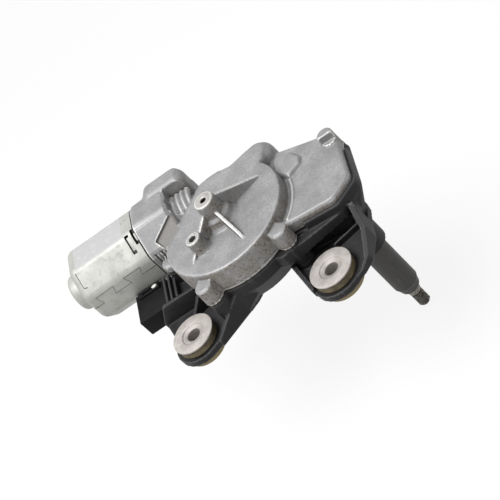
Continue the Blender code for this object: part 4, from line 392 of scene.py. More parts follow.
class Paint(Tree):
    """One procedural finish on a Principled shader."""

    def __init__(self, name, **plain):
        self.material = bpy.data.materials.new(name)
        super().__init__(self.material)
        self.shader = self.tree.nodes["Principled BSDF"]
        self.place = self.node("ShaderNodeTexCoord", {}, (), "Object")
        for socket, value in plain.items():
            self.feed(socket, value)

    def feed(self, socket, value):
        """Set one input of the shader by its name in small letters."""
        names = {key.name.lower().replace(" ", "_"): key for key in self.shader.inputs}
        self.link(value, names[socket])

    def noise(self, size, detail=3.0, roughness=0.6, stretch=None, seed=(0, 0, 0)):
        """Noise with features of about this size, in metres."""
        where = self.place
        if stretch or any(seed):
            where = self.node("ShaderNodeMapping", {}, {"Vector": self.place, "Location": seed,
                                                        "Scale": stretch or (1, 1, 1)})
        made = self.node("ShaderNodeTexNoise", {}, {"Vector": where, "Scale": 1.0 / size, "Detail": detail,
                                                    "Roughness": roughness})
        return Value(self, made)

    def reach(self, centre=(0, 0)):
        """Distance of the surface from an upright axis, in metres."""
        place = self.node("ShaderNodeVectorMath", {"operation": "SUBTRACT"}, (self.place, (*centre, 0)))
        plan = self.node("ShaderNodeVectorMath", {"operation": "MULTIPLY"}, (place, (1, 1, 0)))
        return Value(self, self.node("ShaderNodeVectorMath", {"operation": "LENGTH"}, (plan,), "Value"))

    def axis(self, index):
        """One coordinate of the surface, in metres."""
        parts = self.node("ShaderNodeSeparateXYZ", {}, (self.place,), index)
        return Value(self, parts)

    def facing(self, index):
        """One component of the surface's own normal."""
        normal = self.node("ShaderNodeTexCoord", {}, (), "Normal")
        return Value(self, self.node("ShaderNodeSeparateXYZ", {}, (normal,), index))

    def attribute(self, name):
        """Number kept on the mesh."""
        return Value(self, self.node("ShaderNodeAttribute", {"attribute_name": name}, (), "Fac"))

    def mix(self, share, first, second):
        """Blend of two colours."""
        return self.node("ShaderNodeMix", {"data_type": "RGBA"}, {0: share, 6: first, 7: second}, 2)

    def bump(self, *layers):
        """Chain of bumps from (height, strength, depth in metres)."""
        normal = None
        for height, strength, depth in layers:
            inputs = {"Height": height, "Strength": strength, "Distance": depth}
            if normal is not None:
                inputs["Normal"] = normal
            normal = self.node("ShaderNodeBump", {}, inputs, "Normal")
        self.feed("normal", normal)
        return self.material


def toned(colour, factor):
    """Colour made darker or brighter."""
    return [value * factor for value in colour]


def scene_settings():
    """Settings of this add-on in the open scene."""
    return bpy.context.scene.gear_motor


def cast_finish(settings):
    """Bare die casting: speckled grey, rubbed edges with a painted highlight, dusty pitted sides and a parting
    line, with painted shade in corners, in the hood's recess and grooves, on faces that look forward and up, and
    near black with a brown tint in the boss holes.
    """
    paint = Paint("cast_aluminium_finish", metallic=0.30)
    blotch = paint.noise(0.014, 4.0, 0.62)
    speckle = paint.noise(0.0011, 3.0, 0.72)
    pits = paint.noise(0.0011, 3.0, 0.6, seed=(0.31, 0.12, 0.2))
    curvature = paint.attribute("edge_wear")
    height = paint.axis(2)
    side = 1.0 - paint.facing(2).above(0.25, 0.75)
    front = 1.0 - paint.axis(1).above(0.006, 0.018)
    soil = side * (0.35 + front * 0.65) * paint.noise(0.008, 3.0).above(0.30, 0.60)
    # Rubbed edges: real wear, made brighter to stand for a painted highlight
    rubbed = curvature.above(0.55, 0.69) * speckle.above(0.28, 0.50)
    # Painted shade: concave corners are darkened
    concave_shade = 1.0 - curvature.above(0.30, 0.46)
    parting = height.close_to(0.0322, 0.00022) * front * side * paint.noise(0.004, 3.0).above(0.40, 0.50)
    tip = height.above(HOUSING_HIGH.z - 0.0016, HOUSING_HIGH.z - 0.0008) * blotch.above(0.35, 0.55)
    # Painted shade in the boss holes, near black with a rust-brown tint
    holes = 1.0
    for (x, y), top in BOSS_HOLES:
        inside = 1.0 - paint.reach((x, y)).above(0.0021, 0.0026)
        below = 1.0 - height.above(top - 0.0012, top - 0.0004)
        holes = holes * (1.0 - inside * below * height.above(0.044, 0.048))
    # Painted shade on faces that look forward and up, such as the hood's upper front slope
    front_slope_shade = (1.0 - paint.facing(1).above(-0.85, -0.45)) * paint.facing(2).above(0.35, 0.60)
    even = paint.mix(blotch.above(0.28, 0.74), toned(settings.colour, 0.80),
                     toned(settings.colour, 1.16))
    base = paint.mix(front_slope_shade * 0.5, even, toned(settings.colour, 0.55))
    speckled = paint.mix(speckle.above(0.42, 0.70) * 0.70, base, toned(settings.colour, 0.62))
    # Painted shade in the hood's recess and grooves, in a darkened dirt colour
    sunk = paint.attribute("sunk").above(0.2, 0.8)
    pitted = soil * pits.above(0.51, 0.62)
    dusty = paint.mix(soil * 0.8, speckled, settings.soil_and_shade)
    marked = paint.mix(pitted * 0.75, dusty, toned(settings.soil_and_shade, 0.32))
    recess_shade = paint.mix(sunk * 0.55, marked, toned(settings.soil_and_shade, 0.55))
    # Painted shade in concave corners
    dark = paint.mix(concave_shade * 0.75, recess_shade, toned(settings.soil_and_shade, 0.22))
    lined = paint.mix(parting * 0.85, dark, [0.03, 0.028, 0.025])
    tipped = paint.mix(tip * 0.6, lined, [0.47, 0.44, 0.40])
    # Worn edges with their painted highlight
    rimmed = paint.mix(rubbed, tipped, settings.worn)
    # Painted shade in the boss holes
    paint.feed("base_color", paint.mix(1.0 - holes, rimmed, [0.014, 0.011, 0.009]))
    paint.feed("roughness", 0.52 + (blotch - 0.5) * 0.22 - rubbed * 0.14 + soil * 0.12)
    return paint.bump((speckle, 0.35, 0.00025), (1.0 - pitted, 0.70, 0.00030), (blotch, 0.12, 0.0006))


def zinc_finish(settings):
    """Zinc plated sheet: satin, with faint yellow clouds, speckles and handling marks, and painted shade on faces
    that look down.
    """
    paint = Paint("zinc_plated_finish", metallic=0.30)
    clouds = paint.noise(0.011, 3.0, 0.6)
    fine = paint.noise(0.0008, 2.0, 0.7)
    drawn = paint.noise(0.0016, 2.0, 0.55, stretch=(0.10, 1.0, 1.0))
    stains = paint.noise(0.0048, 4.0, 0.68, seed=(0.4, 0.7, 0.1)).above(0.52, 0.74)
    # Painted shade: the more a face looks down, the darker it is
    under = 1.0 - paint.facing(2).above(-0.75, 0.35)
    base = paint.mix(clouds.above(0.32, 0.70), settings.colour, toned(settings.colour, 0.82))
    stained = paint.mix(stains * 0.55, base, [0.25, 0.25, 0.205])
    speckled = paint.mix(fine.above(0.50, 0.80) * 0.40, stained, [0.60, 0.60, 0.575])
    paint.feed("base_color", paint.mix(under * 0.45, speckled, [0.20, 0.20, 0.165]))
    paint.feed("roughness", 0.50 + (clouds - 0.5) * 0.20 + stains * 0.14 + (drawn - 0.5) * 0.10)
    return paint.bump((drawn, 0.12, 0.00012), (fine, 0.16, 0.00010))


def plastic_finish(name, settings, gloss, dust, tone):
    """Glass-filled black moulding with a fine grain, dust on faces that look up, painted light on faces towards
    +X, and rubbed edges with a painted highlight.
    """
    paint = Paint(name, specular_ior_level=gloss)
    grain = paint.noise(0.0006, 2.0, 0.6)
    flow = paint.noise(0.016, 4.0, 0.62, stretch=(1.0, 1.0, 0.5))
    # Rubbed edges: real wear, made lighter to stand for a painted highlight
    curvature = paint.attribute("edge_wear").above(0.55, 0.76)
    # Dust on faces that look up, and painted light on faces towards +X
    upper = paint.facing(2).above(0.45, 0.95) * 0.6 + paint.facing(0).above(0.55, 0.95) * 1.6
    dusty = upper * (0.35 + flow.above(0.36, 0.72) * 0.65)
    colour = toned(settings.colour, tone)
    base = paint.mix(flow.above(0.30, 0.75), toned(colour, 0.8), toned(colour, 1.35))
    dusted = paint.mix(dusty * dust, base, settings.dust)
    # Rubbed edges with their painted highlight
    paint.feed("base_color", paint.mix(curvature * 0.6, dusted, [0.105, 0.105, 0.11]))
    paint.feed("roughness", 0.47 + (flow - 0.5) * 0.24 + dusty * 0.14 - curvature * 0.06)
    return paint.bump((grain, 0.22, 0.00012), (flow, 0.06, 0.0008))


def rubber_finish(settings):
    """Aged rubber: olive brown, paler and yellower towards the foot."""
    paint = Paint("olive_rubber_finish", specular_ior_level=0.30)
    clouds = paint.noise(0.0042, 3.0, 0.65)
    grain = paint.noise(0.0006, 2.0, 0.7)
    foot = 1.0 - paint.axis(2).above(0.0045, 0.0070)
    base = paint.mix(clouds.above(0.30, 0.70), toned(settings.rubber, 0.7), toned(settings.rubber, 1.35))
    paint.feed("base_color", paint.mix(foot * 0.7, base, [0.30, 0.235, 0.12]))
    paint.feed("roughness", 0.66 + (clouds - 0.5) * 0.22)
    return paint.bump((grain, 0.30, 0.00014), (clouds, 0.12, 0.0004))


def flange_finish(settings):
    """Dull plated flange with soft clouds, a few brown marks and painted shade in the bore, its recess and under
    the flange.
    """
    paint = Paint("bush_finish", metallic=0.30)
    clouds = paint.noise(0.0050, 3.0, 0.6)
    grain = paint.noise(0.0005, 2.0, 0.7)
    marks = paint.noise(0.0028, 4.0, 0.7, seed=(0.2, 0.9, 0.4)).above(0.62, 0.74)
    base = paint.mix(clouds.above(0.34, 0.68), toned(settings.flange, 0.88), toned(settings.flange, 1.10))
    # Painted shade below the flange's top: in the bore, its recess and under the flange
    bore = 1.0 - paint.axis(2).above(0.0150, 0.01665)
    marked = paint.mix(marks * 0.45, base, [0.33, 0.27, 0.21])
    paint.feed("base_color", paint.mix(bore * 0.6, marked, [0.20, 0.185, 0.165]))
    paint.feed("roughness", 0.52 + (clouds - 0.5) * 0.25)
    return paint.bump((grain, 0.22, 0.00010), (marks, 0.15, 0.00010))


def tube_finish(settings):
    """Black coated tube, scuffed along its length, with dull brown patches."""
    paint = Paint("black_tube_finish", metallic=0.12, specular_ior_level=0.40)
    patch = paint.noise(0.016, 4.0, 0.65)
    grain = paint.noise(0.0007, 3.0, 0.7)
    scuffs = paint.noise(0.0020, 3.0, 0.6, stretch=(1.0, 1.0, 0.16)).above(0.58, 0.72)
    base = paint.mix(patch.above(0.32, 0.70), settings.tube, [0.060, 0.056, 0.050])
    paint.feed("base_color", paint.mix(scuffs * 0.40, base, [0.115, 0.105, 0.092]))
    paint.feed("roughness", 0.56 + (patch - 0.5) * 0.25 - scuffs * 0.08)
    return paint.bump((grain, 0.25, 0.00012), (scuffs, 0.20, 0.00010))


def spindle_finish():
    """Bare steel spindle: dark rusty thread roots, brighter crests and knurl."""
    paint = Paint("spindle_finish")
    rust = paint.noise(0.0013, 4.0, 0.7).above(0.42, 0.64)
    grain = paint.noise(0.0004, 2.0, 0.7)
    end = 1.0 - paint.axis(2).above(-0.0735, -0.0725)
    root = end * (1.0 - paint.reach().above(0.0036, 0.0040))
    worn = paint.mix(rust * (0.30 + end * 0.50), [0.34, 0.32, 0.29], [0.035, 0.027, 0.020])
    paint.feed("base_color", paint.mix(root * 0.92, worn, [0.016, 0.013, 0.010]))
    paint.feed("roughness", 0.40 + rust * 0.30)
    paint.feed("metallic", 0.60 - rust * 0.30 - root * 0.30)
    return paint.bump((grain, 0.25, 0.00008), (rust, 0.25, 0.00012))


def label_finish(settings):
    """Bare paper label with rubbed, greyed patches."""
    paint = Paint("label_finish", metallic=0.0)
    rubbed = paint.noise(0.0040, 4.0, 0.65).above(0.50, 0.74)
    streaks = paint.noise(0.0022, 3.0, 0.6, stretch=(0.12, 1.0, 1.0)).above(0.50, 0.75)
    grain = paint.noise(0.0006, 2.0, 0.6)
    base = paint.mix(rubbed * 0.5, settings.label, [0.58, 0.58, 0.57])
    paint.feed("base_color", paint.mix(streaks * 0.3, base, [0.50, 0.50, 0.50]))
    paint.feed("roughness", 0.46 + rubbed * 0.18)
    return paint.bump((grain, 0.12, 0.00006), (streaks, 0.10, 0.00005))


def plain_finish(name, colour, roughness, metallic, size=0.0022):
    """Plain finish of a hidden piece, with its own grain and clouds."""
    paint = Paint(name, metallic=metallic)
    clouds = paint.noise(size * 3, 3.0, 0.6)
    grain = paint.noise(size / 4, 2.0, 0.7)
    paint.feed("base_color", paint.mix(clouds.above(0.30, 0.70), toned(colour, 0.82),
                                       [min(v * 1.16, 1.0) for v in colour]))
    paint.feed("roughness", roughness + (clouds - 0.5) * 0.20)
    return paint.bump((grain, 0.18, 0.0001))


def link_piece(name, mesh, material, body, nodes=()):
    """Object at the origin that rides on a body and stands for CAD nodes."""
    piece = bpy.data.objects.new(name, mesh)
    bpy.context.scene.collection.objects.link(piece)
    mesh.materials.clear()
    mesh.materials.append(material)
    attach(piece, body)
    if nodes:
        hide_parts(*nodes)


def finished_mesh(name, shape):
    """Mesh made from a bmesh, with its doubles merged and its faces outwards."""
    bmesh.ops.remove_doubles(shape, verts=shape.verts, dist=1e-7)
    bmesh.ops.recalc_face_normals(shape, faces=shape.faces)
    mesh = bpy.data.meshes.new(name)
    shape.to_mesh(mesh)
    shape.free()
    return mesh


def baked(mesh, modifiers):
    """Mesh with a list of (type, settings) modifiers worked in."""
    holder = bpy.data.objects.new("holder", mesh)
    bpy.context.scene.collection.objects.link(holder)
    for kind, settings in modifiers:
        modifier = holder.modifiers.new(kind.lower(), kind)
        for key, value in settings.items():
            setattr(modifier, key, value)
    graph = bpy.context.evaluated_depsgraph_get()
    result = bpy.data.meshes.new_from_object(holder.evaluated_get(graph))
    result.name = mesh.name
    bpy.data.objects.remove(holder)
    bpy.data.meshes.remove(mesh)
    return result


def joined(mesh, tools):
    """Mesh with tool meshes joined to it or cut out of it in turn."""
    for operation, tool in tools:
        piece = bpy.data.objects.new("tool", tool)
        bpy.context.scene.collection.objects.link(piece)
        mesh = baked(mesh, [("BOOLEAN", {"operation": operation, "object": piece, "solver": "EXACT"})])
        bpy.data.objects.remove(piece)
        bpy.data.meshes.remove(tool)
    return mesh


def smooth_shaded(mesh, angle=SMOOTH_ANGLE):
    """Mesh shaded smooth up to an angle between its faces."""
    mesh.shade_smooth()
    mesh.set_sharp_from_angle(angle=angle)
    return mesh


def bevelled(mesh, width, segments=2):
    """Mesh with its sharp edges rounded and shaded smooth."""
    bevel = {"width": width, "segments": segments, "limit_method": "ANGLE", "angle_limit": BEVEL_ANGLE}
    return smooth_shaded(baked(mesh, [("BEVEL", bevel)]))


def sheet(name, shape, thickness):
    """Mesh of an open shape that is thickened inwards."""
    return baked(finished_mesh(name, shape), [("SOLIDIFY", {"thickness": thickness, "offset": -1.0})])


def node_copy(node):
    """Merged copy of a CAD node's mesh."""
    shape = bmesh.new()
    shape.from_mesh(frame["nodes"][node].data)
    bmesh.ops.remove_doubles(shape, verts=shape.verts, dist=TOUCH)
    bmesh.ops.dissolve_limit(shape, angle_limit=math.radians(0.2), verts=shape.verts, edges=shape.edges)
    return shape


def vertex_array(mesh, name="co"):
    """One vector property of all the vertices as an array."""
    values = np.zeros(len(mesh.vertices) * 3)
    mesh.vertices.foreach_get(name, values)
    return values.reshape(-1, 3)


def edge_array(mesh):
    """First and second vertex of all the edges as an array."""
    values = np.zeros(len(mesh.edges) * 2, dtype=np.int64)
    mesh.edges.foreach_get("vertices", values)
    return values.reshape(-1, 2)


def move_vertices(mesh, points):
    """Put the vertices at the points of an array."""
    mesh.vertices.foreach_set("co", points.ravel())
    mesh.update()


def keep_number(mesh, name, values):
    """Keep a number on every vertex."""
    kept = mesh.attributes.new(name, "FLOAT", "POINT")
    kept.data.foreach_set("value", values.astype(np.float32))


def true_rounds(mesh, posts):
    """Move facets of upright round forms onto their true radius."""
    points = vertex_array(mesh)
    for (x, y), foot, top, low, high, slack in posts:
        offset = points[:, :2] - (x, y)
        reach = np.hypot(offset[:, 0], offset[:, 1])
        share = np.clip((points[:, 2] - low) / (high - low), 0, 1)
        radius = foot + (top - foot) * share
        chosen = (np.abs(reach - radius) < slack) & (points[:, 2] > low) & (points[:, 2] < high)
        points[chosen, :2] = (x, y) + offset[chosen] * (radius[chosen] / reach[chosen])[:, None]
    move_vertices(mesh, points)


def true_hood(mesh):
    """Move facets of the eight-sided hood onto its true rounded section."""
    points = vertex_array(mesh)
    y = points[:, 1] - MOTOR.y
    z = points[:, 2] - MOTOR.z
    angle = np.arctan2(z, y)
    eighth = math.pi / 4
    aside = np.abs((angle + eighth / 2) % eighth - eighth / 2)
    reach = np.hypot(y, z)
    straight = (HOOD_RADIUS - HOOD_CORNER) * math.tan(eighth / 2)
    flat = HOOD_RADIUS / np.cos(aside)
    centre = math.hypot(HOOD_RADIUS - HOOD_CORNER, straight)
    turn = aside - math.atan2(straight, HOOD_RADIUS - HOOD_CORNER)
    arc = centre * np.cos(turn) + np.sqrt(np.maximum(HOOD_CORNER ** 2 - (centre * np.sin(turn)) ** 2, 0))
    ideal = np.where(HOOD_RADIUS * np.tan(aside) <= straight, flat, arc)
    along = (points[:, 0] > CAN_HIGH.x) & (points[:, 0] < CAN_HIGH.x + HOOD_LENGTH)
    chosen = (np.abs(reach - ideal) < SLACK) & along
    scale = np.where(chosen, ideal / np.maximum(reach, TOUCH), 1.0)
    points[:, 1] = MOTOR.y + y * scale
    points[:, 2] = MOTOR.z + z * scale
    move_vertices(mesh, points)


def true_dome(mesh):
    """Move facets of a stepped dome onto its true half ellipsoid."""
    points = vertex_array(mesh)
    offset = points - HUMP
    offset[:, 2] *= HUMP_RADIUS / HUMP_HEIGHT
    reach = np.sqrt((offset ** 2).sum(1))
    rise = offset[:, 2]
    chosen = (np.abs(reach - HUMP_RADIUS) < HUMP_SLACK) & (rise > 0) & (rise < HUMP_RADIUS * 0.9)
    offset[chosen] *= (HUMP_RADIUS / reach[chosen])[:, None]
    offset[:, 2] *= HUMP_HEIGHT / HUMP_RADIUS
    move_vertices(mesh, offset + HUMP)


def smooth_region(mesh, chosen, rounds):
    """Smooth the chosen vertices over and over, for a larger round."""
    points = vertex_array(mesh)
    edges = edge_array(mesh)
    first, second = edges[chosen[edges].any(1)].T
    count = np.bincount(np.concatenate((first, second)), minlength=len(points))
    moving = chosen & (count > 0)
    for _ in range(rounds):
        total = np.zeros_like(points)
        np.add.at(total, first, points[second])
        np.add.at(total, second, points[first])
        points[moving] = (points[moving] + total[moving] / count[moving, None]) / 2
    move_vertices(mesh, points)


def add_convexity(mesh):
    """Keep how convex the surface is on each vertex: 0.5 is flat, 1 a sharp edge, 0 a corner; the finishes make
    worn edges with a painted highlight from it, and painted shade in corners.
    """
    points = vertex_array(mesh)
    normals = vertex_array(mesh, "normal")
    first, second = edge_array(mesh).T
    span = points[second] - points[first]
    length = np.maximum((span ** 2).sum(1), 1e-12)
    bend = np.zeros(len(points))
    count = np.zeros(len(points))
    np.add.at(bend, first, -(span * normals[first]).sum(1) / length)
    np.add.at(bend, second, (span * normals[second]).sum(1) / length)
    np.add.at(count, first, 1)
    np.add.at(count, second, 1)
    bend /= np.maximum(count, 1)
    for _ in range(CONVEXITY_ROUNDS):
        total = bend.copy()
        np.add.at(total, first, bend[second])
        np.add.at(total, second, bend[first])
        bend = total / (count + 1)
    wider = bend.copy()
    for here, there in ((first, second), (second, first)):
        np.maximum.at(wider, here, np.where(bend[there] > 0, bend[there] * CONVEXITY_SPREAD, wider[here]))
    keep_number(mesh, "edge_wear", np.clip(0.5 + wider * CONVEXITY_GAIN, 0, 1))


def softened_node(node, settings, rounder, cutters, additions):
    """Copy of a CAD node with cuts and small forms added, and with moulded edges and corners."""
    mesh = finished_mesh(node + "_form", node_copy(node))
    mesh = joined(mesh, [("DIFFERENCE", tool) for tool in cutters])
    shape = bmesh.new()
    shape.from_mesh(mesh)
    additions(shape)
    shape.to_mesh(mesh)
    shape.free()
    mesh = baked(mesh, [("REMESH", {"mode": "VOXEL", "voxel_size": settings.voxel})])
    rounder(mesh)
    mesh = baked(mesh, [("SMOOTH", {"factor": 0.5, "iterations": settings.rounds}),
                        ("DECIMATE", {"ratio": settings.share})])
    mesh.shade_smooth()
    add_convexity(mesh)
    return mesh


def lathe(name, profile, centre, steps, width, segments=2):
    """Turned piece from (radius, height) points, with softened edges."""
    shape = bmesh.new()
    verts = [shape.verts.new((radius, 0, height)) for radius, height in profile]
    edges = []
    for first, second in zip(verts, verts[1:] + verts[:1]):
        if first.co.x > 0 or second.co.x > 0:
            edges.append(shape.edges.new((first, second)))
    bmesh.ops.spin(shape, geom=verts + edges, cent=(0, 0, 0), axis=(0, 0, 1), angle=2 * math.pi,
                   steps=steps, use_merge=True)
    move(shape, (*centre, 0))
    return bevelled(finished_mesh(name, shape), width, segments)


def tube_line(name, points, radius):
    """Thin round line through points, as a mesh."""
    curve = bpy.data.curves.new(name, "CURVE")
    curve.dimensions = "3D"
    curve.bevel_depth = radius
    curve.bevel_resolution = LINE_SIDES
    curve.use_fill_caps = True
    spline = curve.splines.new("POLY")
    spline.points.add(len(points) - 1)
    for target, point in zip(spline.points, points):
        target.co = (*point, 1)
    holder = bpy.data.objects.new(name, curve)
    bpy.context.scene.collection.objects.link(holder)
    graph = bpy.context.evaluated_depsgraph_get()
    drawn = bpy.data.meshes.new_from_object(holder.evaluated_get(graph))
    bpy.data.objects.remove(holder)
    shape = bmesh.new()
    shape.from_mesh(drawn)
    bpy.data.meshes.remove(drawn)
    mesh = finished_mesh(name, shape)
    mesh.shade_smooth()
    return mesh


def hull_block(shape, points):
    """Convex block round points, added to a bmesh."""
    verts = [shape.verts.new(point) for point in points]
    made = bmesh.ops.convex_hull(shape, input=verts)
    loose = made["geom_interior"] + made["geom_unused"]
    spare = {item for item in loose if isinstance(item, bmesh.types.BMVert)}
    bmesh.ops.delete(shape, geom=list(spare), context="VERTS")


def hull_mesh(name, points):
    """Convex mesh round points."""
    shape = bmesh.new()
    hull_block(shape, points)
    return finished_mesh(name, shape)


def arc_block(shape, profile, centre, axis, start, angle, steps):
    """Part of a turned ring from a closed profile of points, added to a bmesh."""
    verts = [shape.verts.new(point) for point in profile]
    ring = [shape.edges.new((verts[i - 1], verts[i])) for i in range(len(verts))]
    bmesh.ops.rotate(shape, cent=centre, matrix=Matrix.Rotation(start, 3, axis), verts=verts)
    before = set(shape.faces)
    bmesh.ops.spin(shape, geom=verts + ring, cent=centre, axis=axis, angle=angle, steps=steps,
                   use_merge=False)
    added = [face for face in shape.faces if face not in before]
    rim = {edge for face in added for edge in face.edges if edge.is_boundary}
    bmesh.ops.holes_fill(shape, edges=list(rim), sides=0)
    made = {face for vert in verts for face in vert.link_faces} | set(added)
    bmesh.ops.recalc_face_normals(shape, faces=list(made))


def block(shape, low, high):
    """Box between two corners, added to a bmesh."""
    made = bmesh.ops.create_cube(shape, size=1.0)
    size = Vector(high) - Vector(low)
    bmesh.ops.scale(shape, vec=size, verts=made["verts"])
    bmesh.ops.translate(shape, vec=(Vector(low) + Vector(high)) / 2, verts=made["verts"])


def prism(shape, plan, heights):
    """Upright convex block over a plan, added to a bmesh."""
    hull_block(shape, [(x, y, z) for x, y in plan for z in heights])


def post(segments, foot, top, depth):
    """New bmesh with an upright cone or cylinder round the origin."""
    shape = bmesh.new()
    bmesh.ops.create_cone(shape, cap_ends=True, segments=segments, radius1=foot, radius2=top, depth=depth)
    return shape


def move(shape, vec):
    """Move a whole bmesh."""
    bmesh.ops.translate(shape, vec=vec, verts=shape.verts)


class GEARMOTOR_OT_casting(bpy.types.Operator):
    """Round off the cast gear housing and give it a bare metal finish"""
    bl_idname = "gear_motor.casting"
    bl_label = "Cast gear housing"

    def execute(self, context):
        settings = scene_settings().casting
        mesh = softened_node("gear_housing", settings, self.rounder, self.cutters(), self.add_forms)
        self.mark_sunk(mesh)
        link_piece("gear_housing_casting", mesh, cast_finish(settings), "housing",
                   ["gear_housing"])
        return {"FINISHED"}

    def rounder(self, mesh):
        """Bring the round forms to their true shape, and soften the hood's far edge and the hump's rim."""
        posts = [(centre_of(f"housing_screw_{index}"), *LUG) for index in (1, 2)]
        posts += [(centre_of("housing_screw_4"), *SMALL_LUG), (WHEEL_PLAN, *DRUM), (WHEEL_PLAN, *BOSS)]
        true_rounds(mesh, posts)
        true_hood(mesh)
        true_dome(mesh)
        points = vertex_array(mesh)
        far_edge = (points[:, 1] > MOTOR.y + 0.0065) & (points[:, 2] > MOTOR.z + 0.010)
        smooth_region(mesh, far_edge, HOOD_SMOOTHING)
        offset = points - WHEEL
        turn = np.degrees(np.arctan2(offset[:, 1], offset[:, 0]))
        reach = np.hypot(offset[:, 0], offset[:, 1])
        rim = (turn > HUMP_RIM[0] - 6) & (turn < HUMP_RIM[-1] + 10) & (reach > 0.0385)
        smooth_region(mesh, rim & (points[:, 2] > 0.0385), HUMP_SMOOTHING)

    def cutters(self):
        """Tools for the hood's grooves and shallow recess, and for the top of the knob at the drum's edge."""
        front = MOTOR.y - HOOD_RADIUS
        tools = []
        for start in HOOD_GROOVES:
            shape = bmesh.new()
            block(shape, (CAN_HIGH.x + start, front - 0.003, MOTOR.z + GROOVE_LOW),
                  (CAN_HIGH.x + start + GROOVE_WIDTH, front + 0.0012, MOTOR.z + GROOVE_HIGH))
            tools.append(finished_mesh("groove", shape))
        mouth = Vector((CAN_HIGH.x, MOTOR.y, MOTOR.z))
        out = Vector((0, -1, 1)).normalized()
        tools.append(hull_mesh("recess", [mouth + Vector(point) + out * rise for point in HOOD_RECESS
                                          for rise in (-RECESS_DEPTH, 0.0040)]))
        knob = post(24, KNOB_RADIUS, KNOB_RADIUS, KNOB_DEPTH)
        move(knob, (WHEEL.x + KNOB[0], WHEEL.y + KNOB[1], KNOB[2]))
        return tools + [finished_mesh("knob", knob)]

    def mark_sunk(self, mesh):
        """Keep which vertices lie in the hood's recess and grooves, where the finish paints shade."""
        points = vertex_array(mesh) - (CAN_HIGH.x, MOTOR.y, MOTOR.z)
        x, y, z = points.T
        depth = HOOD_RADIUS - (z - y) / math.sqrt(2)
        recess = (depth > RECESS_DEPTH * 0.6) & (depth < RECESS_DEPTH * 1.6)
        recess &= (x > 0.0088) & (x < 0.0262) & (z > 0.0095) & (z < 0.0200)
        grooves = (np.abs(y + 0.0241) < 0.0005) & (np.abs(z) < 0.0098) & (x > 0.0030) & (x < 0.0116)
        keep_number(mesh, "sunk", recess | grooves)

    def add_forms(self, shape):
        """Ribbed sleeve round the worm's axis, and the fairing between drum and hump."""
        points = [round_point(WHEEL, math.radians(angle), radius, z) for angle in HUMP_RIM
                  for radius, z in ((0.0408, 0.0466), (0.0424, 0.0385))]
        for radius, z in ((0.0062, 0.0464), (0.0096, 0.0412)):
            points += [round_point(HUMP, turn, radius, z)
                       for turn in np.linspace(0, 2 * math.pi, 24, endpoint=False)]
        hull_block(shape, points)
        start = CAN_HIGH.x + SLEEVE_START
        profile = [(start, 0.0150)]
        for index in range(SLEEVE_RIBS):
            left = start + index * SLEEVE_PITCH
            profile += [(left, 0.0172), (left + 0.0010, 0.0182), (left + 0.0022, 0.0182),
                        (left + 0.0032, 0.0172)]
        profile.append((profile[-1][0], 0.0150))
        points = [(x, MOTOR.y + radius, MOTOR.z) for x, radius in profile]
        arc_block(shape, points, MOTOR, Vector((1, 0, 0)), math.radians(74), math.radians(66), 20)


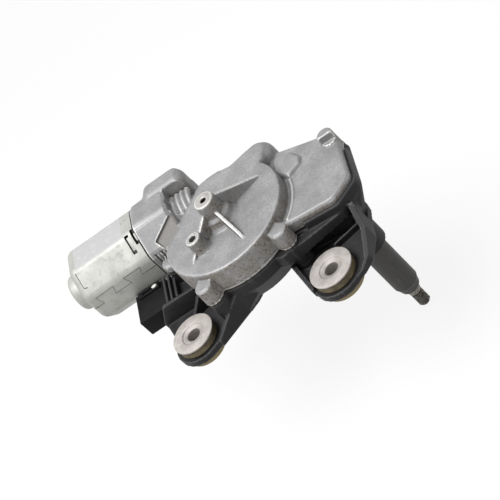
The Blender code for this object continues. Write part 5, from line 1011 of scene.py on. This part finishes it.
class GEARMOTOR_OT_can(bpy.types.Operator):
    """Motor can with its interlocked seam, slots, tongues, seal and bare label"""
    bl_idname = "gear_motor.can"
    bl_label = "Motor can"

    def section(self, shape, across, corner, x):
        """Face of the eight-sided can section at a station along X."""
        radius = across / 2 / math.cos(math.pi / 8)
        made = bmesh.ops.create_circle(shape, cap_ends=True, segments=8, radius=radius)
        verts = made["verts"]
        bmesh.ops.rotate(shape, matrix=Matrix.Rotation(math.pi / 8, 3, "Z"), verts=verts)
        bmesh.ops.bevel(shape, geom=verts, offset=corner * math.tan(math.pi / 8), offset_type="OFFSET",
                        segments=8, profile=0.5, affect="VERTICES", material=-1, clamp_overlap=True)
        turn = Matrix(((0, 0, 1), (1, 0, 0), (0, 1, 0)))
        bmesh.ops.transform(shape, matrix=turn.to_4x4(), verts=shape.verts)
        move(shape, (x, MOTOR.y, MOTOR.z))
        return list(shape.faces)

    def execute(self, context):
        settings = scene_settings().can
        mouth = CAN_HIGH.x - settings.groove
        across = CAN_HIGH.z - CAN_LOW.z
        end = CAN_LOW.x + settings.pot_depth
        shape = bmesh.new()
        self.tube(shape, across, settings.corner, mouth, end)
        rim = [edge for edge in shape.edges if all(abs(vert.co.x - end) < TOUCH for vert in edge.verts)]
        bmesh.ops.bevel(shape, geom=rim, offset=settings.end_round, offset_type="OFFSET", segments=7,
                        profile=0.5, affect="EDGES", material=-1, clamp_overlap=True)
        open_end = [face for face in shape.faces if all(abs(v.co.x - mouth) < TOUCH for v in face.verts)]
        bmesh.ops.delete(shape, geom=open_end, context="FACES_ONLY")
        mesh = sheet("motor_can_shell", shape, settings.wall)
        depth = settings.pot_depth + 0.002
        pot = post(64, settings.pot_radius, settings.pot_radius, depth)
        bmesh.ops.rotate(pot, matrix=Matrix.Rotation(math.pi / 2, 3, "Y"), verts=pot.verts)
        move(pot, (CAN_LOW.x + depth / 2, MOTOR.y, MOTOR.z))
        tools = [("UNION", bevelled(finished_mesh("pot", pot), 0.0024, 5))]
        for start, stop, low, high in SLOTS:
            slot = bmesh.new()
            block(slot, (CAN_HIGH.x + start, MOTOR.y + low, MOTOR.z),
                  (CAN_HIGH.x + stop, MOTOR.y + high, MOTOR.z + across))
            bmesh.ops.rotate(slot, cent=MOTOR, matrix=SLOT_TURN, verts=slot.verts)
            tools.append(("DIFFERENCE", finished_mesh("slot", slot)))
        mesh = smooth_shaded(joined(mesh, tools), CAN_SMOOTH_ANGLE)
        zinc = zinc_finish(settings)
        link_piece("motor_can_shell", mesh, zinc, "housing", ["motor_can"])
        self.add_tongues(zinc, across)
        self.add_lines(settings, across)
        self.add_label(settings, across)
        self.add_seal(settings, mouth, across)
        return {"FINISHED"}

    def tube(self, shape, across, corner, start, end):
        """Closed eight-sided bar between two stations along X."""
        cap = self.section(shape, across, corner, start)
        made = bmesh.ops.extrude_face_region(shape, geom=cap)["geom"]
        moved = [item for item in made if isinstance(item, bmesh.types.BMVert)]
        bmesh.ops.translate(shape, vec=(end - start, 0, 0), verts=moved)

    def add_tongues(self, material, across):
        """Bent sheet tongues that lie sunk in the two slots."""
        shape = bmesh.new()
        surface = MOTOR.z + across / 2
        for start, stop, low, high in TONGUES:
            block(shape, (CAN_HIGH.x + start, MOTOR.y + low, surface - 0.0019),
                  (CAN_HIGH.x + stop, MOTOR.y + high, surface - 0.0003))
        bmesh.ops.rotate(shape, cent=MOTOR, matrix=SLOT_TURN, verts=shape.verts)
        mesh = bevelled(finished_mesh("can_tongues", shape), 0.0003, 3)
        link_piece("can_tongues", mesh, material, "housing")

    def add_lines(self, settings, across):
        """Interlocked seam along the can's front flat and the pressed mark near its end, as fine lines."""
        front = MOTOR.y - across / 2
        points = [(CAN_HIGH.x + x, front, MOTOR.z + z) for x, z in SEAM]
        mesh = tube_line("can_seam", points, settings.seam_width / 2)
        dark = plain_finish("seam_shadow", (0.035, 0.034, 0.032), 0.7, 0.2, 0.001)
        link_piece("can_seam", mesh, dark, "housing")
        mark = [SLOT_TURN @ Vector((0, y, across / 2)) + Vector((CAN_HIGH.x + x, MOTOR.y, MOTOR.z))
                for x, y in MARK]
        mesh = tube_line("can_pressed_mark", mark, settings.seam_width * 0.7)
        link_piece("can_pressed_mark", mesh, dark, "housing")

    def add_label(self, settings, across):
        """Bare label laid round the can's upper flat."""
        shape = bmesh.new()
        lift = settings.label_lift
        start, stop, half = LABEL
        self.tube(shape, across + 2 * lift, settings.corner + lift, CAN_HIGH.x + start, CAN_HIGH.x + stop)
        for place, normal in (((0, MOTOR.y + half, 0), (0, 1, 0)), ((0, MOTOR.y - half, 0), (0, -1, 0)),
                              (MOTOR, (0, 0, -1))):
            bmesh.ops.bisect_plane(shape, geom=shape.verts[:] + shape.edges[:] + shape.faces[:], dist=1e-7,
                                   plane_co=place, plane_no=normal, clear_outer=True)
        ends = [face for face in shape.faces if abs(face.normal.x) > 0.9]
        bmesh.ops.delete(shape, geom=ends, context="FACES")
        mesh = smooth_shaded(sheet("can_label", shape, 2 * lift))
        link_piece("can_label", mesh, label_finish(settings), "housing")

    def add_seal(self, settings, mouth, across):
        """Dark seal in the groove between can and hood."""
        shape = bmesh.new()
        inside = across - 2 * settings.seal_depth
        self.tube(shape, inside, settings.corner, mouth - SEAL_WALL, CAN_HIGH.x + 0.0001)
        caps = [face for face in shape.faces if abs(face.normal.x) > 0.9]
        bmesh.ops.delete(shape, geom=caps, context="FACES_ONLY")
        mesh = smooth_shaded(sheet("can_seal", shape, SEAL_WALL))
        rubber = plain_finish("seal_rubber", (0.018, 0.018, 0.018), 0.75, 0.0)
        link_piece("can_seal", mesh, rubber, "housing")


class GEARMOTOR_OT_tub(bpy.types.Operator):
    """Round off the plastic tub and its plug socket"""
    bl_idname = "gear_motor.tub"
    bl_label = "Plastic tub and socket"

    def execute(self, context):
        settings = scene_settings().plastic
        rib = hull_mesh("rib", [(x, y, z) for x in (-0.0068, -0.0006) for y, z in RIB_CUT])
        mesh = softened_node("lower_housing", settings, self.rounder, [rib], self.add_walls)
        material = plastic_finish("black_plastic_finish", settings, 0.20, 0.28, 0.9)
        link_piece("lower_housing_moulding", mesh, material, "housing", ["lower_housing"])
        socket = bevelled(finished_mesh("plug_socket", node_copy("connector_socket")), 0.00045, 3)
        material = plastic_finish("socket_finish", settings, 0.10, 0.03, 0.4)
        link_piece("plug_socket", socket, material, "housing", ["connector_socket"])
        self.add_stud()
        return {"FINISHED"}

    def rounder(self, mesh):
        """Bring the eyes, the drum's lower wall and the neck to their true round shape."""
        posts = [(centre_of("mount_bush_" + side), *EYE) for side in SIDES]
        posts += [(WHEEL_PLAN, *form) for form in TUB_ROUNDS]
        true_rounds(mesh, posts + [((0, 0), *form) for form in NECK_ROUNDS])

    def add_walls(self, shape):
        """Web and foot by the socket, ridges, arm corner, front wall, cheek, rib and screw collars."""
        hull_block(shape, [(x, y, z) for x, z in SIDE_WEB for y in WEB_SIDES])
        prism(shape, WEB_FOOT, FOOT_HEIGHTS)
        for x in NECK_RIDGES:
            block(shape, (x, 0.0040, 0.0180), (x + 0.0016, 0.0266, 0.0242))
        block(shape, (NECK_RIDGES[0], 0.0200, 0.0150), (-0.0985, 0.0266, 0.0196))
        hull_block(shape, ARM_FILL)
        for pair in zip(FRONT_WALL, FRONT_WALL[1:]):
            hull_block(shape, [(x, y + inward, z) for x, y, low, deep in pair
                               for z, inward in ((low, 0.0), (low, min(deep, WALL_DEPTH)),
                                                 (WALL_TOP, 0.0), (WALL_TOP, deep))])
        for pair in zip(CHEEK, CHEEK[1:]):
            hull_block(shape, [(x + aside, y, z) for x, y, top, wide in pair for aside in (0, wide)
                               for z in (CHEEK_LOW, top)])
        prism(shape, CHEEK_FLOOR, (CHEEK_LOW, CHEEK_FLOOR_TOP))
        prism(shape, [(x, y + wide) for x, y in RIGHT_RIB for wide in (0, RIB_WIDTH)], RIB_HEIGHTS)
        for index in (1, 2, 3):
            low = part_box(f"housing_screw_{index}")[0]
            x, y = centre_of(f"housing_screw_{index}")
            top = low.z + SCREW_HEAD + COLLAR_RISE
            profile = [(x + COLLAR_INNER, y, COLLAR_FOOT), (x + COLLAR_OUTER, y, COLLAR_FOOT),
                       (x + COLLAR_OUTER, y, top), (x + COLLAR_INNER, y, top)]
            arc_block(shape, profile, (x, y, 0), Vector((0, 0, 1)), 0.0, 2 * math.pi, 40)

    def add_stud(self):
        """Small pale oval stud on the socket's rail."""
        top = SOCKET_HIGH.z
        profile = [(0, top - 0.0004), (0.0013, top - 0.0004), (0.0013, top + 0.0003),
                   (0.0009, top + 0.0006), (0, top + 0.0006)]
        mesh = lathe("socket_stud", profile, (0, 0), 32, 0.00012)
        place = Matrix.Translation((STUD_X, SOCKET_HIGH.y - 0.0035, 0))
        mesh.transform(place @ Matrix.Diagonal((STUD_STRETCH, 1.0, 1.0, 1.0)))
        pale = plain_finish("stud_finish", (0.62, 0.61, 0.57), 0.45, 0.2)
        link_piece("socket_stud", mesh, pale, "housing")


class GEARMOTOR_OT_fixings(bpy.types.Operator):
    """Turned bushes, grommets and housing screws"""
    bl_idname = "gear_motor.fixings"
    bl_label = "Bushes, grommets and screws"

    def execute(self, context):
        settings = scene_settings().fixing
        flange = flange_finish(settings)
        rubber = rubber_finish(settings)
        steps = settings.steps
        for side in SIDES:
            centre = centre_of("mount_bush_" + side)
            bush = lathe("bush_" + side, BUSH, centre, steps, 0.00028)
            link_piece("bush_" + side, bush, flange, "housing", ["mount_bush_" + side])
            grommet = lathe("rubber_" + side, GROMMET, centre, steps, 0.00045, 3)
            link_piece("rubber_" + side, grommet, rubber, "housing", ["grommet_" + side])
        steel = plain_finish("screw_finish", (0.40, 0.39, 0.36), 0.40, 0.9)
        for index in range(1, 5):
            node = f"housing_screw_{index}"
            low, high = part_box(node)
            seat = low.z + SCREW_HEAD
            screw = [(0, low.z + 0.0012), (0.0020, low.z + 0.0012), (0.0022, low.z), (0.0036, low.z),
                     (0.0042, low.z + 0.0006), (0.0042, seat), (0.0020, seat), (0.0020, high.z - 0.0006),
                     (0.0014, high.z), (0, high.z)]
            mesh = lathe(f"screw_{index}", screw, centre_of(node), 48, 0.0002)
            link_piece(f"screw_{index}", mesh, steel, "housing", [node])
        return {"FINISHED"}


class GEARMOTOR_OT_spindle(bpy.types.Operator):
    """Spindle tube, and the shaft with its knurled cone and thread"""
    bl_idname = "gear_motor.spindle"
    bl_label = "Spindle"

    def execute(self, context):
        settings = scene_settings().spindle
        low = TUBE_LOW.z
        tube = [(0.00505, low), (0.0060, low), (0.0066, low + 0.0006), (0.0072, low + 0.0030),
                (0.0078, low + 0.0054), (0.00845, low + 0.0064), (0.00845, TUBE_HIGH.z),
                (0.00675, TUBE_HIGH.z), (0.00675, low + 0.0060), (0.00505, low + 0.0060)]
        mesh = lathe("spindle_tube", tube, (0, 0), 96, 0.0004, 3)
        link_piece("spindle_tube", mesh, tube_finish(settings), "housing", ["shaft_tube"])
        self.add_shaft(settings)
        return {"FINISHED"}

    def add_shaft(self, settings):
        """Shaft with a fine knurl on its cone and a cut thread below it."""
        tip = SHAFT_LOW.z
        thread_top = tip + THREAD_LENGTH
        cone_top = thread_top + CONE_LENGTH
        root = THREAD_RADIUS - settings.depth
        profile = [(0, tip), (root - 0.0006, tip), (root, tip + 0.0007), (root, thread_top),
                   (0.0046, cone_top - 0.0004), (SHAFT_RADIUS, cone_top), (SHAFT_RADIUS, WASHER_TOP),
                   (0.00415, WASHER_TOP), (0.00415, SHAFT_HIGH.z), (0, SHAFT_HIGH.z)]
        steel = spindle_finish()
        mesh = lathe("spindle_shaft", profile, (0, 0), 96, 0.00015)
        link_piece("spindle_shaft", mesh, steel, "rocker", ["output_shaft"])
        thread = bmesh.new()
        half = settings.pitch * 0.42
        turns = int((thread_top - tip - 0.0012) / settings.pitch)
        start = tip + 0.0009
        verts = [thread.verts.new((radius, 0, start + height)) for radius, height in
                 ((root - 0.0003, -half), (THREAD_RADIUS, -0.00008), (THREAD_RADIUS, 0.00008),
                  (root - 0.0003, half))]
        ring = [thread.edges.new((verts[i], verts[(i + 1) % 4])) for i in range(4)]
        bmesh.ops.spin(thread, geom=verts + ring, cent=(0, 0, 0), axis=(0, 0, 1), angle=2 * math.pi * turns,
                       dvec=(0, 0, settings.pitch / THREAD_STEPS), steps=THREAD_STEPS * turns,
                       use_merge=False)
        bmesh.ops.holes_fill(thread, edges=[e for e in thread.edges if e.is_boundary], sides=8)
        mesh = smooth_shaded(finished_mesh("spindle_thread", thread))
        link_piece("spindle_thread", mesh, steel, "rocker")
        count = settings.knurls * 2
        knurl = post(count, 0.00425, SHAFT_RADIUS, 0.0042)
        move(knurl, (0, 0, (thread_top + cone_top) / 2))
        valleys = [vert for vert in knurl.verts
                   if round(math.atan2(vert.co.y, vert.co.x) / (2 * math.pi) * count) % 2]
        bmesh.ops.scale(knurl, vec=(0.93, 0.93, 1.0), verts=valleys)
        link_piece("spindle_knurl", finished_mesh("spindle_knurl", knurl), steel, "rocker")


class GEARMOTOR_OT_inner(bpy.types.Operator):
    """Finishes of the gasket and of the pieces inside the housings"""
    bl_idname = "gear_motor.inner"
    bl_label = "Gasket and inner pieces"

    def execute(self, context):
        made = {}
        for part in frame["record"]["subparts"]:
            slot = part["material_slot"]
            if slot not in made:
                made[slot] = plain_finish("inner_" + slot, *INNER_LOOKS[slot])
            node = frame["nodes"][part["node"]]
            node.data.materials.clear()
            node.data.materials.append(made[slot])
        return {"FINISHED"}


class GEARMOTOR_OT_stage(bpy.types.Operator):
    """Plain floor, soft light and the camera"""
    bl_idname = "gear_motor.stage"
    bl_label = "Stage"

    def execute(self, context):
        settings = scene_settings().stage
        scene = context.scene
        scene.view_settings.view_transform = "Standard"
        self.add_floor(settings, context)
        self.add_light(settings, context)
        data = bpy.data.cameras.new("photo_camera")
        data.sensor_width = 36.0
        data.lens = data.sensor_width * settings.distance / settings.width
        data.clip_start = 0.01
        data.clip_end = 20.0
        camera = bpy.data.objects.new("photo_camera", data)
        scene.collection.objects.link(camera)
        turn = Matrix((CAMERA_RIGHT, CAMERA_UP, CAMERA_TOWARD)).transposed().to_4x4()
        camera.matrix_world = Matrix.Translation(CAMERA_TARGET + CAMERA_TOWARD * settings.distance) @ turn
        scene.camera = camera
        return {"FINISHED"}

    def add_floor(self, settings, context):
        """Wide pale floor just under the spindle's tip."""
        shape = bmesh.new()
        bmesh.ops.create_grid(shape, x_segments=1, y_segments=1, size=FLOOR_SIZE)
        move(shape, (0, 0, CAD_BOX[0].z - FLOOR_GAP))
        mesh = finished_mesh("floor", shape)
        floor = bpy.data.objects.new("floor", mesh)
        context.scene.collection.objects.link(floor)
        paint = Paint("pale_floor", roughness=0.9, specular_ior_level=0.1)
        clouds = paint.noise(0.6, 2.0, 0.5)
        paint.feed("base_color", paint.mix(clouds.above(0.3, 0.7), settings.floor,
                                           toned(settings.floor, 0.99)))
        white = paint.node("ShaderNodeEmission", {}, {"Color": (1, 1, 1), "Strength": 1.0})
        paint.end_with(paint.node("ShaderNodeMixShader", {}, {0: paint.seen() * (1.0 - settings.shade),
                                                              1: paint.shader.outputs[0], 2: white}))
        mesh.materials.append(paint.material)

    def add_light(self, settings, context):
        """Even sky that looks white, and one large soft lamp."""
        world = bpy.data.worlds.new("even_sky")
        context.scene.world = world
        tree = Tree(world)
        sky, white = (tree.node("ShaderNodeBackground", {}, {"Color": (1, 1, 1), "Strength": strength})
                      for strength in (settings.sky, 1.0))
        tree.end_with(tree.node("ShaderNodeMixShader", {}, {0: tree.seen(), 1: sky, 2: white}))
        lamp = bpy.data.lights.new("key_lamp", "AREA")
        lamp.shape = "DISK"
        lamp.size = KEY_SIZE
        lamp.energy = settings.key
        key = bpy.data.objects.new("key_lamp", lamp)
        context.scene.collection.objects.link(key)
        key.location = KEY_PLACE
        key.rotation_mode = "QUATERNION"
        key.rotation_quaternion = (KEY_TARGET - KEY_PLACE).to_track_quat("-Z", "Y")


class GearMotorSettings(bpy.types.PropertyGroup):
    """All settings of the gear motor"""
    casting: PointerProperty(type=CastingSettings)
    can: PointerProperty(type=CanSettings)
    plastic: PointerProperty(type=PlasticSettings)
    fixing: PointerProperty(type=FixingSettings)
    spindle: PointerProperty(type=SpindleSettings)
    stage: PointerProperty(type=StageSettings)


OPERATORS = (GEARMOTOR_OT_inner, GEARMOTOR_OT_casting, GEARMOTOR_OT_can, GEARMOTOR_OT_tub,
             GEARMOTOR_OT_fixings, GEARMOTOR_OT_spindle, GEARMOTOR_OT_stage)


class GEARMOTOR_PT_panel(bpy.types.Panel):
    """Pieces of the gear motor"""
    bl_label = "Gear motor"
    bl_idname = "GEARMOTOR_PT_panel"
    bl_space_type = "VIEW_3D"
    bl_region_type = "UI"
    bl_category = "Gear motor"

    def draw(self, context):
        """List the operators."""
        for operator in OPERATORS:
            self.layout.operator(operator.bl_idname)


CLASSES = (CastingSettings, CanSettings, PlasticSettings, FixingSettings, SpindleSettings, StageSettings,
           GearMotorSettings, *OPERATORS, GEARMOTOR_PT_panel)


def register():
    """Register the classes and their settings."""
    for item in CLASSES:
        bpy.utils.register_class(item)
    bpy.types.Scene.gear_motor = PointerProperty(type=GearMotorSettings)


def unregister():
    """Take the classes and their settings out again."""
    del bpy.types.Scene.gear_motor
    for item in reversed(CLASSES):
        bpy.utils.unregister_class(item)


def main():
    """Build every piece in order."""
    register()
    bpy.ops.gear_motor.inner()
    bpy.ops.gear_motor.casting()
    bpy.ops.gear_motor.can()
    bpy.ops.gear_motor.tub()
    bpy.ops.gear_motor.fixings()
    bpy.ops.gear_motor.spindle()
    bpy.ops.gear_motor.stage()


if __name__ == "__main__":
    main()
